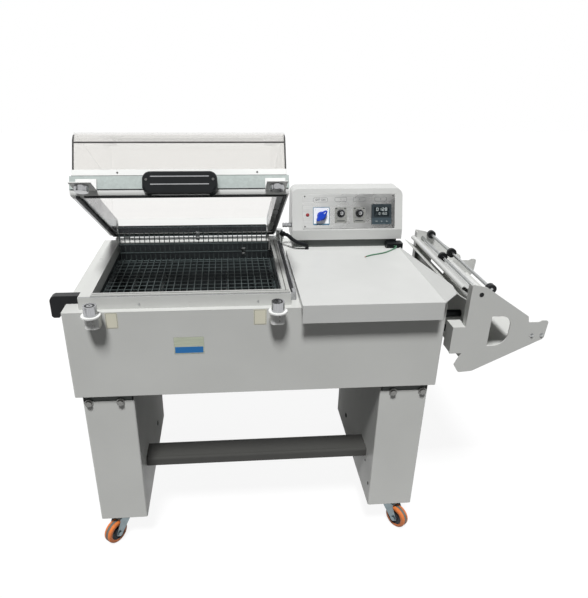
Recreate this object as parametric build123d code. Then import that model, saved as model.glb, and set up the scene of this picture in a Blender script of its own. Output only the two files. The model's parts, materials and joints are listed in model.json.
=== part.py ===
"""L-bar sealer with a shrink chamber.

A clear hood on a rear hinge closes over a heated tub and a wire tray, and its L-shaped
blade seals film against a silicone strip. A work table, a control box and a film
unwinder stand beside it, on two sheet-metal legs with swivel casters.
All sizes are in millimetres: X runs to the right, Y to the back, Z up from the floor.
"""
import os
from math import hypot, radians, tan

from build123d import *

# Clearances
SHAFT_GAP = 0.1
RUN_GAP = 0.3
SHEET_GAP = 0.2

# Cabinet
CABINET_WIDTH = 1030
CABINET_DEPTH = 600
CABINET_HEIGHT = 260
CABINET_TOP = 825
CABINET_BEND = 5
SHEET = 2
VENT_LENGTH = 70
VENT_WIDTH = 7
VENT_PITCH_X = 110
VENT_PITCH_Z = 22
VENT_COLUMNS = 3
VENT_ROWS = 5

# Legs and tie beam
LEG_INSET = 17
LEG_WIDTH = 143
LEG_FRONT = 12
LEG_BACK_INSET = 46
LEG_SHEET = 2.5
LEG_BEND = 5
LEG_SLIT = 24
LEG_TAB_DROP = 46
LEG_TAB_INSET = 6
LEG_HOLE_RADIUS = 6
LEG_HOLE_Y = 390
LEG_HOLE_Z = 180
BOLT_RADIUS = 4
BOLT_DROP = 3
BOLT_OUTER_INSET = 16
BOLT_INNER_INSET = 104
BOLT_HEAD_ACROSS = 16
BOLT_HEAD_HEIGHT = 6.5
WASHER_RADIUS = 12
WASHER_HEIGHT = 2
BEAM_FRONT = 90
BEAM_DEPTH = 80
BEAM_TOP = 268
BEAM_HEIGHT = 30
BEAM_SHEET = 3
BEAM_BEND = 9

# Casters
CASTER_HEIGHT = 100
CASTER_PLATE = 60
CASTER_PLATE_SHEET = 3
CASTER_INSET_X = 55
CASTER_INSET_Y = 34
RACE_RADIUS = 22
RACE_HEIGHT = 8
STEM_RADIUS = 6
STEM_HEIGHT = 8
FORK_SHEET = 2.5
FORK_GAP = 35
FORK_CROWN = 4
FORK_HALF_LENGTH = 24
CASTER_TRAIL = 31
WHEEL_RADIUS = 37.5
WHEEL_WIDTH = 28
TYRE_THICKNESS = 12
TYRE_SHOULDER = 5
HUB_RADIUS = 12
HUB_WIDTH = 34
WEB_WIDTH = 14
AXLE_RADIUS = 5
AXLE_HEAD_RADIUS = 8
AXLE_HEAD_HEIGHT = 4
CASTER_TURNS = {"front_left": -39, "front_right": 36, "rear_left": 205, "rear_right": 152}

# Chamber, rim and tray
CHAMBER_LEFT = 74
CHAMBER_WIDTH = 501
CHAMBER_FRONT = 50
CHAMBER_DEPTH = 420
RAIL_HEIGHT = 34
RAIL_LEFT_WIDTH = 31.5
RAIL_FRONT_WIDTH = 31
RAIL_BACK_WIDTH = 25
SEAL_RAIL_WIDTH = 25
SEAL_STEP_WIDTH = 18
SEAL_STEP_DROP = 10
RAIL_SHEET = 2
LOWER_STRIP_HEIGHT = 3
LOWER_STRIP_MARGIN = 2
LOWER_STRIP_FRONT_WIDTH = 18
TUB_SHEET = 1.5
TUB_DEPTH = 175
TUB_FLANGE = 12
TRAY_DROP = 9
TRAY_GAP = 2
TRAY_REACH = 362
TRAY_LEDGE = 12
WIRE_RADIUS = 1.4
WIRE_GAP = 0.1
FRAME_WIRE_RADIUS = 2.5
TRAY_PITCH_X = 20
TRAY_PITCH_Y = 27
GUARD_PITCH = 16
GUARD_RISE = 112
GUARD_MARGIN = 10
GUARD_OVERHANG = 4
GUARD_ROWS = 4

# Heating and circulation
HEATER_RADIUS = 5
HEATER_HEIGHT = 92
HEATER_SPAN = 90
HEATER_REACH = 330
HEATER_BEND = 40
HEATER_TAIL = 16
HEATER_OFFSET = 150
FAN_RADIUS = 88
FAN_HEIGHT = 38
FAN_RISE = 12
FAN_PLATE = 2
FAN_BLADES = 16
FAN_BLADE_DEPTH = 22
FAN_BLADE_SHEET = 2
FAN_BLADE_TURN = 30
FAN_HUB_RADIUS = 14
FAN_SHAFT_RADIUS = 5
FAN_SHAFT_DROP = 45
MOTOR_RADIUS = 55
MOTOR_HEIGHT = 62
MOTOR_FLANGE_RADIUS = 70
MOTOR_FLANGE = 5
TRANSFORMER_SIZE = (92, 76, 84)
TRANSFORMER_COIL = (64, 108, 56)
TRANSFORMER_COIL_CORNER = 6
TRANSFORMER_X = 800
TRANSFORMER_Y = 330

# Hood, drawn closed and then swung open about its hinge
HOOD_LEFT = 41
HOOD_WIDTH = 556
HOOD_FRONT = 17
HOOD_DEPTH = 483
HOOD_BASE = 866
HOOD_OPEN = 30
BAR_WIDTH = 30
FRONT_BAR_DEPTH = 36
REAR_BAR_DEPTH = 35
BAR_HEIGHT = 48
BAR_LIP = 12
BAR_LIP_SLOPE = 10
CLAMP_HEIGHT = 17
CLAMP_SHEET = 6
COVER_SHEET = 4
COVER_INSET = 5
COVER_SETBACK = 8
COVER_REAR_SETBACK = 3
COVER_HEIGHT = 128
COVER_FRONT_BEND = 38
COVER_REAR_BEND = 14
COVER_GLUE = 0.1
HANDLE_WIDTH = 187
HANDLE_HEIGHT = 58
HANDLE_DEPTH = 34
HANDLE_CORNER = 20
HANDLE_EDGE = 8
HANDLE_WALL = 10
HANDLE_POCKET_WIDTH = 146
HANDLE_POCKET_HEIGHT = 40
HANDLE_DROP = 8
GROOVE_WIDTH = 126
GROOVE_HEIGHT = 3
GROOVE_DEPTH = 1.5
GROOVE_PITCH = 20
SEAL_MARGIN = 13
SEAL_WIDTH = 9
BLADE_WIDTH = 8
HINGE_BEHIND = 12
HINGE_BELOW = 10
SHAFT_RADIUS = 6
LUG_RADIUS = 11
LUG_WIDTH = 10
LUG_INSET = 20
LUG_HEIGHT = 24
POST_RADIUS = 12
POST_GAP = 3
POST_RISE = 28
BLOCK_WIDTH = 20
BLOCK_RADIUS = 10
BLOCK_INSET = 44
SHAFT_TAIL = 4

# Magnets and armatures
MAGNET_LEFT_INSET = 42
MAGNET_RIGHT_INSET = 36
MAGNET_SETDOWN = 8
MAGNET_FORWARD = 28
MAGNET_RADIUS = 17.5
MAGNET_HEIGHT = 26
MAGNET_CORE_RADIUS = 8
MAGNET_RING_RADIUS = 13
MAGNET_RING_DEPTH = 2
MAGNET_FLANGE_RADIUS = 25
MAGNET_FLANGE = 4
MAGNET_FOOT_WIDTH = 38
MAGNET_FOOT_DEPTH = 36
MAGNET_FOOT_HEIGHT = 35
MAGNET_FOOT_CORNER = 12
ARMATURE_WIDTH = 53
ARMATURE_SHEET = 3
ARMATURE_FLANGE = 31
ARMATURE_REACH = 24
ARMATURE_DISC = 16

# Side handle
GRIP_FRONT = 58
GRIP_THICKNESS = 25
GRIP_TOP = 848
GRIP_REACH = 42
GRIP_DROP = 63
GRIP_ARM = 22
GRIP_GAP = 20
GRIP_LIFT = 1
GRIP_CORNER = 9

# Work table
TABLE_LEFT = 626
TABLE_WIDTH = 383
TABLE_FRONT = -30
TABLE_BACK_GAP = 69
TABLE_RISE = 19
TABLE_SHEET = 2
TABLE_SKIRT = 52
TABLE_WING = 31
TABLE_WING_RISE = 30
TABLE_WING_REAR = 3
TABLE_WING_CUT = 5
TABLE_WING_CUT_LENGTH = 44

# Control box
BOX_LEFT = 654
BOX_WIDTH = 381
BOX_BACK_INSET = 4
BOX_DEPTH = 116
BOX_BASE_RISE = 29
BOX_CREASE = 34
BOX_HEIGHT = 166
BOX_LEAN = 44
BOX_CORNER = 22
BOX_SHEET = 2
PLINTH_INSET = 14
PLINTH_SETBACK = 12
FACE_LEFT_INSET = 36
FACE_WIDTH = 318
FACE_BOTTOM = 6
FACE_HEIGHT = 115
FACE_SHEET = 1.5
LAMP_X = 16
LAMP_UP = 52
LAMP_RADIUS = 5
LAMP_HEIGHT = 6
SWITCH_X = 63
SWITCH_UP = 48
SWITCH_PLATE = (57, 61)
SWITCH_PLATE_SHEET = 1.5
SWITCH_RADIUS = 17
SWITCH_BASE = 6
SWITCH_LEVER_HEAD = (16, 9)
SWITCH_LEVER_NOSE = (19, 5)
SWITCH_LEVER_RISE = 12
SWITCH_TURN = 225
DIAL_XS = (130, 194)
DIAL_UP = 55.5
DIAL_PLATE = (41, 52)
DIAL_PLATE_DROP = 5
KNOB_RADIUS = 12.5
KNOB_SKIRT = 5
KNOB_HEIGHT = 17
KNOB_CAP_RADIUS = 9
KNOB_SHAFT_RADIUS = 3
KNOB_SHAFT_DROP = 10
CONTROLLER_RIGHT_INSET = 48
CONTROLLER_UP = 52
CONTROLLER_SIZE = 68
CONTROLLER_BEZEL = 8
CONTROLLER_BODY = 62
CONTROLLER_BODY_DEPTH = 46
SCREEN_SIZE = (54, 33)
SCREEN_UP = 8
SCREEN_DEPTH = 1.5
KEY_SIZE = (13, 7)
KEY_PITCH = 18
KEY_DOWN = 24
KEY_THICKNESS = 3.2
KEY_PROUD = 1.2
KEY_POCKET = 3
KEY_TRAVEL = 0.8
KEY_GAP = 0.3

# Cables; each route is measured from the foot of the hinge post or of the terminal block
CABLE_BEND_SHARE = 0.45
CONDUIT_RADIUS = 6.2
CONDUIT_HEADING = (26, -28)
CONDUIT_EXIT_DROP = 12
CONDUIT_ROUTE = [(26, -28, 47), (46, -46, 33), (69, -45, 20), (92, -43, 16.5), (92, -43, 0)]
GLAND_RADIUS = 9
GLAND_LENGTH = 14
BOX_GLAND_RISE = 45
BOX_GLAND_BACK = 32
BOX_GLAND_LENGTH = 32
BOX_GLAND_RADIUS = 8
TERMINAL_SIZE = (56, 36, 21)
TERMINAL_X = 1008
TERMINAL_SETBACK = 8
LEAD_RADIUS = 2
LEAD_ROUTE = [
    (-4, -36.5, 13), (-4, -51, 17), (-6, -67, 23), (-12, -83, 24), (-27, -97, 21.6),
    (-55, -122, 21.3), (-83, -136, 21.3), (-109, -144, 21.3), (-131, -159, 21.3),
]

# Film unwinder, measured along X from the right side of the cabinet
UNWINDER_FRONT = 40
UNWINDER_BACK_INSET = 40
UNWINDER_SHEET = 3
UNWINDER_FLANGE = 25
UNWINDER_ARM_FLANGE = 50
UNWINDER_LEFT = CABINET_WIDTH + 80
UNWINDER_ARM_LEFT = CABINET_WIDTH + 43
UNWINDER_ARM_TOP = 731
UNWINDER_ARM_HEIGHT = 86
UNWINDER_TOP = 863
UNWINDER_TIP = CABINET_WIDTH + 327
CRADLE_X = CABINET_WIDTH + 283
CRADLE_WIDTH = 32
CRADLE_FLOOR = 741
HAND_HOLE_X = CABINET_WIDTH + 153
HAND_HOLE_Z = 667
HAND_HOLE_WIDTH = 59
HAND_HOLE_HEIGHT = 96
SPACER_RADIUS = 11
SPACER_INSET = 78
UPPER_SPACER_Z = 739
LOWER_SPACER_Z = 690
ROD_RADIUS = 5
LOWER_ROD_X = CABINET_WIDTH + 110
LOWER_ROD_Z = 832
ROD_STEP_X = 28
ROD_STEP_Z = 14
ROD_WHEEL_RADIUS = 15.2
ROD_WHEEL_WIDTH = 12
ROD_WHEEL_Y = 351
ROD_WHEEL_SLOT = 2.5
BEARING_RADIUS = 14
BEARING_WIDTH = 15
BOARD_SHEET = 2
BOARD_LEFT = CABINET_WIDTH + 76
BOARD_TOP = 843
BOARD_LENGTH = 190
BOARD_FOLD = 7
BOARD_RETURN = 90
BOARD_SLOPE = 33
TROUGH_LIP_X = CABINET_WIDTH + 38
TROUGH_LIP_Z = 832
TROUGH_WALL_X = CABINET_WIDTH + 92
TROUGH_FLOOR_Z = 596
TROUGH_END_X = CABINET_WIDTH + 300
TROUGH_BEND = 12

# Levels and planes that follow from the sizes above
CABINET_BOTTOM = CABINET_TOP - CABINET_HEIGHT
DECK_UNDER = CABINET_TOP - SHEET
LEG_BACK = CABINET_DEPTH - LEG_BACK_INSET
LEG_DEPTH = LEG_BACK - LEG_FRONT
LEG_LEFTS = (LEG_INSET, CABINET_WIDTH - LEG_INSET - LEG_WIDTH)
LEG_FACE_TOP = CABINET_BOTTOM - LEG_SLIT
BOLT_Z = LEG_FACE_TOP - BOLT_DROP
CHAMBER_RIGHT = CHAMBER_LEFT + CHAMBER_WIDTH
CHAMBER_BACK = CHAMBER_FRONT + CHAMBER_DEPTH
CHAMBER_MID_X = CHAMBER_LEFT + CHAMBER_WIDTH / 2
CHAMBER_MID_Y = CHAMBER_FRONT + CHAMBER_DEPTH / 2
RIM_LEFT = CHAMBER_LEFT - RAIL_LEFT_WIDTH
RIM_RIGHT = CHAMBER_RIGHT + SEAL_RAIL_WIDTH
RIM_FRONT = CHAMBER_FRONT - RAIL_FRONT_WIDTH
RIM_BACK = CHAMBER_BACK + RAIL_BACK_WIDTH
RIM_TOP = CABINET_TOP + RAIL_HEIGHT
LOWER_STRIP_TOP = RIM_TOP + LOWER_STRIP_HEIGHT
TUB_FLOOR = CABINET_TOP - TUB_DEPTH
TRAY_LEVEL = CABINET_TOP - TRAY_DROP
HOOD_RIGHT = HOOD_LEFT + HOOD_WIDTH
HOOD_BACK = HOOD_FRONT + HOOD_DEPTH
HOOD_MID_X = HOOD_LEFT + HOOD_WIDTH / 2
BAR_TOP = HOOD_BASE + BAR_HEIGHT
HINGE_Y = HOOD_BACK + HINGE_BEHIND
HINGE_Z = HOOD_BASE - HINGE_BELOW
POST_X = HOOD_RIGHT + POST_GAP + POST_RADIUS
MAGNET_XS = (HOOD_LEFT + MAGNET_LEFT_INSET, HOOD_RIGHT - MAGNET_RIGHT_INSET)
MAGNET_TOP = HOOD_BASE - MAGNET_SETDOWN
BOX_BASE = CABINET_TOP + BOX_BASE_RISE
BOX_BACK = CABINET_DEPTH - BOX_BACK_INSET
BOX_FRONT = BOX_BACK - BOX_DEPTH
TABLE_TOP = CABINET_TOP + TABLE_RISE
TABLE_RIGHT = TABLE_LEFT + TABLE_WIDTH
TABLE_BACK = BOX_FRONT - TABLE_BACK_GAP
TERMINAL_BACK = BOX_FRONT + TERMINAL_SETBACK
CONTROLLER_X = FACE_WIDTH - CONTROLLER_RIGHT_INSET
UNWINDER_BACK = CABINET_DEPTH - UNWINDER_BACK_INSET
UPPER_ROD_X = LOWER_ROD_X + ROD_STEP_X
UPPER_ROD_Z = LOWER_ROD_Z + ROD_STEP_Z
FACE_PLANE = Plane(
    origin=(BOX_LEFT + FACE_LEFT_INSET, BOX_FRONT, BOX_BASE + BOX_CREASE),
    x_dir=(1, 0, 0),
    z_dir=(0, BOX_CREASE - BOX_HEIGHT, BOX_LEAN),
)

nodes = {}


def slab(x, y, z):
    """Box between the low and high limits of each axis."""
    size = [high - low for low, high in (x, y, z)]
    middle = [(high + low) / 2 for low, high in (x, y, z)]
    return Pos(*middle) * Box(*size)


def outline(points, radii=0):
    """Face inside a closed outline whose corners are rounded by the radii given."""
    if radii == 0:
        return make_face(Polyline(*points, close=True))
    return make_face(FilletPolyline(*points, radius=radii, close=True))


def along_x(face, low, high):
    """Extrude a face drawn in Y and Z from one X to another."""
    return extrude(Plane.YZ.offset(low) * face, high - low)


def along_y(face, low, high):
    """Extrude a face drawn in X and Z from one Y to another."""
    plane = Plane(origin=(0, high, 0), x_dir=(1, 0, 0), z_dir=(0, -1, 0))
    return extrude(plane * face, high - low)


def rod(start, end, radius):
    """Round bar between two points."""
    axis = Vector(*end) - Vector(*start)
    plane = Plane(origin=start, z_dir=axis)
    return extrude(plane * Circle(radius), axis.length)


def add(name, *shapes):
    """Keep the solids of some shapes as one named node."""
    nodes[name] = Compound([solid for shape in shapes for solid in shape.solids()])


def bent_sheet(points, radii, sheet):
    """Face of a sheet that follows a path, bent at its corners, to the left of the path."""
    path = FilletPolyline(*points, radius=radii)
    return make_face(offset_pair(path, sheet))


def offset_pair(path, sheet):
    """Closed outline between a path and its copy, one sheet thickness to the left."""
    twin = path.offset_2d(sheet, side=Side.LEFT, closed=False)
    ends = [Line(path @ 0, twin @ 0), Line(path @ 1, twin @ 1)]
    if (Vector(*(path @ 0)) - (twin @ 0)).length > 2 * sheet:
        ends = [Line(path @ 0, twin @ 1), Line(path @ 1, twin @ 0)]
    return [*path.edges(), *twin.edges(), *ends]


def opened(shape):
    """Swing a piece of the closed hood to the open stop."""
    hinge = Pos(0, HINGE_Y, HINGE_Z)
    return hinge * Rot(-HOOD_OPEN, 0, 0) * hinge.inverse() * shape


def on_face(x, up, out=0):
    """Place on the control panel: along it, up its slope and out of it."""
    return FACE_PLANE * Pos(x, up, out)


def make_cabinet():
    """Folded front and sides, top deck, rear cover and floor pan with the leg tabs."""
    outer = Rectangle(CABINET_WIDTH, CABINET_DEPTH, align=Align.MIN)
    front_corners = outer.vertices().group_by(Axis.Y)[0]
    wall_height = CABINET_HEIGHT - SHEET
    body = extrude(fillet(front_corners, CABINET_BEND), wall_height)
    inner_width = CABINET_WIDTH - 2 * SHEET
    inner = Pos(SHEET, SHEET) * Rectangle(inner_width, CABINET_DEPTH, align=Align.MIN)
    inner_corners = inner.vertices().group_by(Axis.Y)[0]
    hollow = extrude(fillet(inner_corners, CABINET_BEND - SHEET), wall_height)
    add("cabinet_wrap", Pos(0, 0, CABINET_BOTTOM) * (body - hollow))

    deck = extrude(fillet(front_corners, CABINET_BEND), SHEET)
    cut_x = (CHAMBER_LEFT - TUB_SHEET - SHEET_GAP, CHAMBER_RIGHT + TUB_SHEET + SHEET_GAP)
    cut_y = (CHAMBER_FRONT - TUB_SHEET - SHEET_GAP, CHAMBER_BACK + TUB_SHEET + SHEET_GAP)
    add("top_deck", Pos(0, 0, DECK_UNDER) * deck - slab(cut_x, cut_y, (DECK_UNDER, CABINET_TOP)))

    side = (SHEET + SHEET_GAP, CABINET_WIDTH - SHEET - SHEET_GAP)
    cover = slab(side, (CABINET_DEPTH - SHEET, CABINET_DEPTH), (CABINET_BOTTOM, DECK_UNDER))
    vent = extrude(SlotOverall(VENT_LENGTH, VENT_WIDTH), 2 * SHEET, both=True)
    vents = GridLocations(VENT_PITCH_X, VENT_PITCH_Z, VENT_COLUMNS, VENT_ROWS)
    wall = Pos(CHAMBER_MID_X, CABINET_DEPTH, (CABINET_BOTTOM + DECK_UNDER) / 2) * Rot(90, 0, 0)
    add("rear_cover", cover - [wall * place * vent for place in vents])

    pan_back = CABINET_DEPTH - SHEET - SHEET_GAP
    pan = slab(side, (SHEET + SHEET_GAP, pan_back), (CABINET_BOTTOM, CABINET_BOTTOM + SHEET))
    pan = fillet(pan.edges().filter_by(Axis.Z).group_by(Axis.Y)[0], CABINET_BEND)
    tab_z = (CABINET_BOTTOM - LEG_TAB_DROP, CABINET_BOTTOM + SHEET)
    for left in LEG_LEFTS:
        tab_x = (left + LEG_TAB_INSET, left + LEG_WIDTH - LEG_TAB_INSET)
        front = LEG_FRONT + LEG_SHEET
        back = LEG_BACK - LEG_SHEET
        pan += slab(tab_x, (front, front + SHEET), tab_z)
        pan += slab(tab_x, (back - SHEET, back), tab_z)
    add("floor_pan", pan - [bolt_hole(place) for place in bolt_places()])


def bolt_places():
    """Seat of each leg bolt: X, Y of the leg's face, and the way that its head points."""
    places = []
    for left, outer_first in zip(LEG_LEFTS, (True, False)):
        insets = (BOLT_OUTER_INSET, BOLT_INNER_INSET)
        for inset in insets:
            x = left + inset if outer_first else left + LEG_WIDTH - inset
            places.append((x, LEG_FRONT, -1))
            places.append((x, LEG_BACK, 1))
    return places


def bolt_hole(place):
    """Clearance hole of a leg bolt through the leg and the tab behind it."""
    x, y, way = place
    depth = 2 * (LEG_SHEET + SHEET)
    return rod((x, y + way, BOLT_Z), (x, y - way * depth, BOLT_Z), BOLT_RADIUS + RUN_GAP)


def make_legs():
    """Two box legs whose front and rear faces stop short below the cabinet."""
    for name, left in zip(("left_leg", "right_leg"), LEG_LEFTS):
        height = CABINET_BOTTOM - CASTER_HEIGHT
        middle = Pos(left + LEG_WIDTH / 2, LEG_FRONT + LEG_DEPTH / 2, CASTER_HEIGHT)
        outer = extrude(RectangleRounded(LEG_WIDTH, LEG_DEPTH, LEG_BEND), height)
        bore_width = LEG_WIDTH - 2 * LEG_SHEET
        bore_depth = LEG_DEPTH - 2 * LEG_SHEET
        bore = RectangleRounded(bore_width, bore_depth, LEG_BEND - LEG_SHEET)
        leg = middle * (outer - Pos(0, 0, LEG_SHEET) * extrude(bore, height))
        slit_x = (left + LEG_SHEET, left + LEG_WIDTH - LEG_SHEET)
        slit_z = (LEG_FACE_TOP, CABINET_BOTTOM)
        leg -= slab(slit_x, (LEG_FRONT, LEG_BACK), slit_z)
        leg -= [bolt_hole(place) for place in bolt_places()]
        inner_x = left + LEG_WIDTH if left == LEG_LEFTS[0] else left
        start = (inner_x - 2 * LEG_SHEET, LEG_HOLE_Y, LEG_HOLE_Z)
        end = (inner_x + 2 * LEG_SHEET, LEG_HOLE_Y, LEG_HOLE_Z)
        add(name, leg - rod(start, end, LEG_HOLE_RADIUS))

    bolts = []
    for x, y, way in bolt_places():
        washer_end = y + way * WASHER_HEIGHT
        bolt = rod((x, y, BOLT_Z), (x, washer_end, BOLT_Z), WASHER_RADIUS)
        hexagon = RegularPolygon(BOLT_HEAD_ACROSS / 2, 6, major_radius=False)
        head = Plane(origin=(x, washer_end, BOLT_Z), z_dir=(0, way, 0)) * hexagon
        bolt += extrude(head, BOLT_HEAD_HEIGHT)
        shank_end = y - way * (LEG_SHEET + 3 * SHEET)
        bolts.append(bolt + rod((x, y, BOLT_Z), (x, shank_end, BOLT_Z), BOLT_RADIUS))
    add("leg_bolts", *bolts)

    beam_x = (LEG_LEFTS[0] + LEG_WIDTH, LEG_LEFTS[1])
    beam = slab(beam_x, (BEAM_FRONT, BEAM_FRONT + BEAM_DEPTH), (BEAM_TOP - BEAM_HEIGHT, BEAM_TOP))
    top_edges = beam.edges().filter_by(Axis.X).group_by(Axis.Z)[-1]
    beam = fillet(top_edges, BEAM_BEND)
    hollow_y = (BEAM_FRONT + BEAM_SHEET, BEAM_FRONT + BEAM_DEPTH - BEAM_SHEET)
    hollow = slab(beam_x, hollow_y, (BEAM_TOP - BEAM_HEIGHT, BEAM_TOP - BEAM_SHEET))
    hollow_edges = hollow.edges().filter_by(Axis.X).group_by(Axis.Z)[-1]
    add("tie_beam", beam - fillet(hollow_edges, BEAM_BEND - BEAM_SHEET))


def caster_places():
    """Swivel axis of each caster, by corner."""
    lefts = (LEG_INSET + CASTER_INSET_X, CABINET_WIDTH - LEG_INSET - CASTER_INSET_X)
    fronts = (LEG_FRONT + CASTER_INSET_Y, LEG_BACK - CASTER_INSET_Y)
    return {
        "front_left": (lefts[0], fronts[0]),
        "front_right": (lefts[1], fronts[0]),
        "rear_left": (lefts[0], fronts[1]),
        "rear_right": (lefts[1], fronts[1]),
    }


def make_casters():
    """Swivel casters: a plate with a race, a fork with its axle, and a wheel."""
    race_bottom = CASTER_HEIGHT - CASTER_PLATE_SHEET - RACE_HEIGHT
    plate = RectangleRounded(CASTER_PLATE, CASTER_PLATE, CASTER_PLATE_SHEET * 2)
    plate = Pos(0, 0, CASTER_HEIGHT - CASTER_PLATE_SHEET) * extrude(plate, CASTER_PLATE_SHEET)
    plate += Pos(0, 0, race_bottom) * extrude(Circle(RACE_RADIUS), RACE_HEIGHT)
    plate -= Pos(0, 0, race_bottom) * extrude(Circle(STEM_RADIUS + SHAFT_GAP), STEM_HEIGHT + RUN_GAP)

    crown_top = race_bottom - RUN_GAP
    half = FORK_GAP / 2 + FORK_SHEET
    crown_z = (crown_top - FORK_CROWN, crown_top)
    fork = slab((-half, half), (-FORK_HALF_LENGTH, FORK_HALF_LENGTH), crown_z)
    eye = AXLE_HEAD_RADIUS + 3
    skirt = crown_top - 3 * FORK_CROWN
    cheek = outline([
        (FORK_HALF_LENGTH, crown_top), (FORK_HALF_LENGTH, skirt), (eye - CASTER_TRAIL, WHEEL_RADIUS - 6),
        (-CASTER_TRAIL, WHEEL_RADIUS - eye), (-CASTER_TRAIL - eye, WHEEL_RADIUS - 4),
        (-CASTER_TRAIL - eye, WHEEL_RADIUS + 6), (-FORK_HALF_LENGTH, skirt), (-FORK_HALF_LENGTH, crown_top),
    ])
    fork += along_x(cheek, -half, -FORK_GAP / 2) + along_x(cheek, FORK_GAP / 2, half)
    axle = (-CASTER_TRAIL, WHEEL_RADIUS)
    fork += rod((-half, *axle), (half, *axle), AXLE_RADIUS)
    fork += rod((-half - AXLE_HEAD_HEIGHT, *axle), (-half, *axle), AXLE_HEAD_RADIUS)
    fork += rod((half, *axle), (half + AXLE_HEAD_HEIGHT, *axle), AXLE_HEAD_RADIUS)
    fork += Pos(0, 0, crown_top) * extrude(Circle(STEM_RADIUS), STEM_HEIGHT)

    rim = WHEEL_RADIUS - TYRE_THICKNESS
    edge = WHEEL_WIDTH / 2
    tyre = outline([
        (-edge, rim), (edge, rim),
        (edge, WHEEL_RADIUS - TYRE_SHOULDER), (edge - TYRE_SHOULDER, WHEEL_RADIUS),
        (TYRE_SHOULDER - edge, WHEEL_RADIUS), (-edge, WHEEL_RADIUS - TYRE_SHOULDER),
    ])
    bore = AXLE_RADIUS + SHAFT_GAP
    hub = HUB_WIDTH / 2
    web = WEB_WIDTH / 2
    core = outline([
        (-hub, bore), (hub, bore), (hub, HUB_RADIUS), (web, HUB_RADIUS), (web, rim),
        (-web, rim), (-web, HUB_RADIUS), (-hub, HUB_RADIUS),
    ])
    to_axle = Pos(0, *axle)
    wheel = [to_axle * revolve(tyre, Axis.X), to_axle * revolve(core, Axis.X)]

    plates = []
    for corner, (x, y) in caster_places().items():
        plates.append(Pos(x, y, 0) * plate)
        turn = Pos(x, y, 0) * Rot(0, 0, CASTER_TURNS[corner])
        add("caster_fork_" + corner, turn * fork)
        add("caster_wheel_" + corner, *[turn * solid for solid in wheel])
    add("caster_plates", *plates)


def make_chamber():
    """Heated tub under the deck, with ledges that carry the tray."""
    wide = (CHAMBER_LEFT - TUB_SHEET, CHAMBER_RIGHT + TUB_SHEET)
    deep = (CHAMBER_FRONT - TUB_SHEET, CHAMBER_BACK + TUB_SHEET)
    tub = slab(wide, deep, (TUB_FLOOR - TUB_SHEET, CABINET_TOP))
    flange_x = (wide[0] - TUB_FLANGE, wide[1] + TUB_FLANGE)
    flange_y = (deep[0] - TUB_FLANGE, deep[1] + TUB_FLANGE)
    tub += slab(flange_x, flange_y, (DECK_UNDER - TUB_SHEET, DECK_UNDER))
    inside_x = (CHAMBER_LEFT, CHAMBER_RIGHT)
    inside_y = (CHAMBER_FRONT, CHAMBER_BACK)
    tub -= slab(inside_x, inside_y, (TUB_FLOOR, CABINET_TOP))
    ledge_top = TRAY_LEVEL - 2 * FRAME_WIRE_RADIUS - WIRE_GAP
    ledge_y = (CHAMBER_FRONT, CHAMBER_FRONT + TRAY_REACH)
    for x in ((CHAMBER_LEFT, CHAMBER_LEFT + TRAY_LEDGE), (CHAMBER_RIGHT - TRAY_LEDGE, CHAMBER_RIGHT)):
        tub += slab(x, ledge_y, (ledge_top - TUB_SHEET, ledge_top))
    floor_hole = extrude(Circle(FAN_SHAFT_RADIUS + FAN_PLATE), 2 * TUB_SHEET, both=True)
    tub -= Pos(CHAMBER_MID_X, CHAMBER_MID_Y, TUB_FLOOR) * floor_hole
    for x in heater_ends():
        start = (x, CHAMBER_BACK - TUB_SHEET, TUB_FLOOR + HEATER_HEIGHT)
        end = (x, CHAMBER_BACK + 2 * TUB_SHEET, TUB_FLOOR + HEATER_HEIGHT)
        tub -= rod(start, end, HEATER_RADIUS + SHEET_GAP)
    add("chamber_tub", tub)


def heater_ends():
    """X of the tail of each heater tube, two to a hairpin."""
    middles = (CHAMBER_MID_X - HEATER_OFFSET, CHAMBER_MID_X + HEATER_OFFSET)
    return [middle + way * HEATER_SPAN / 2 for middle in middles for way in (-1, 1)]


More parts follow.
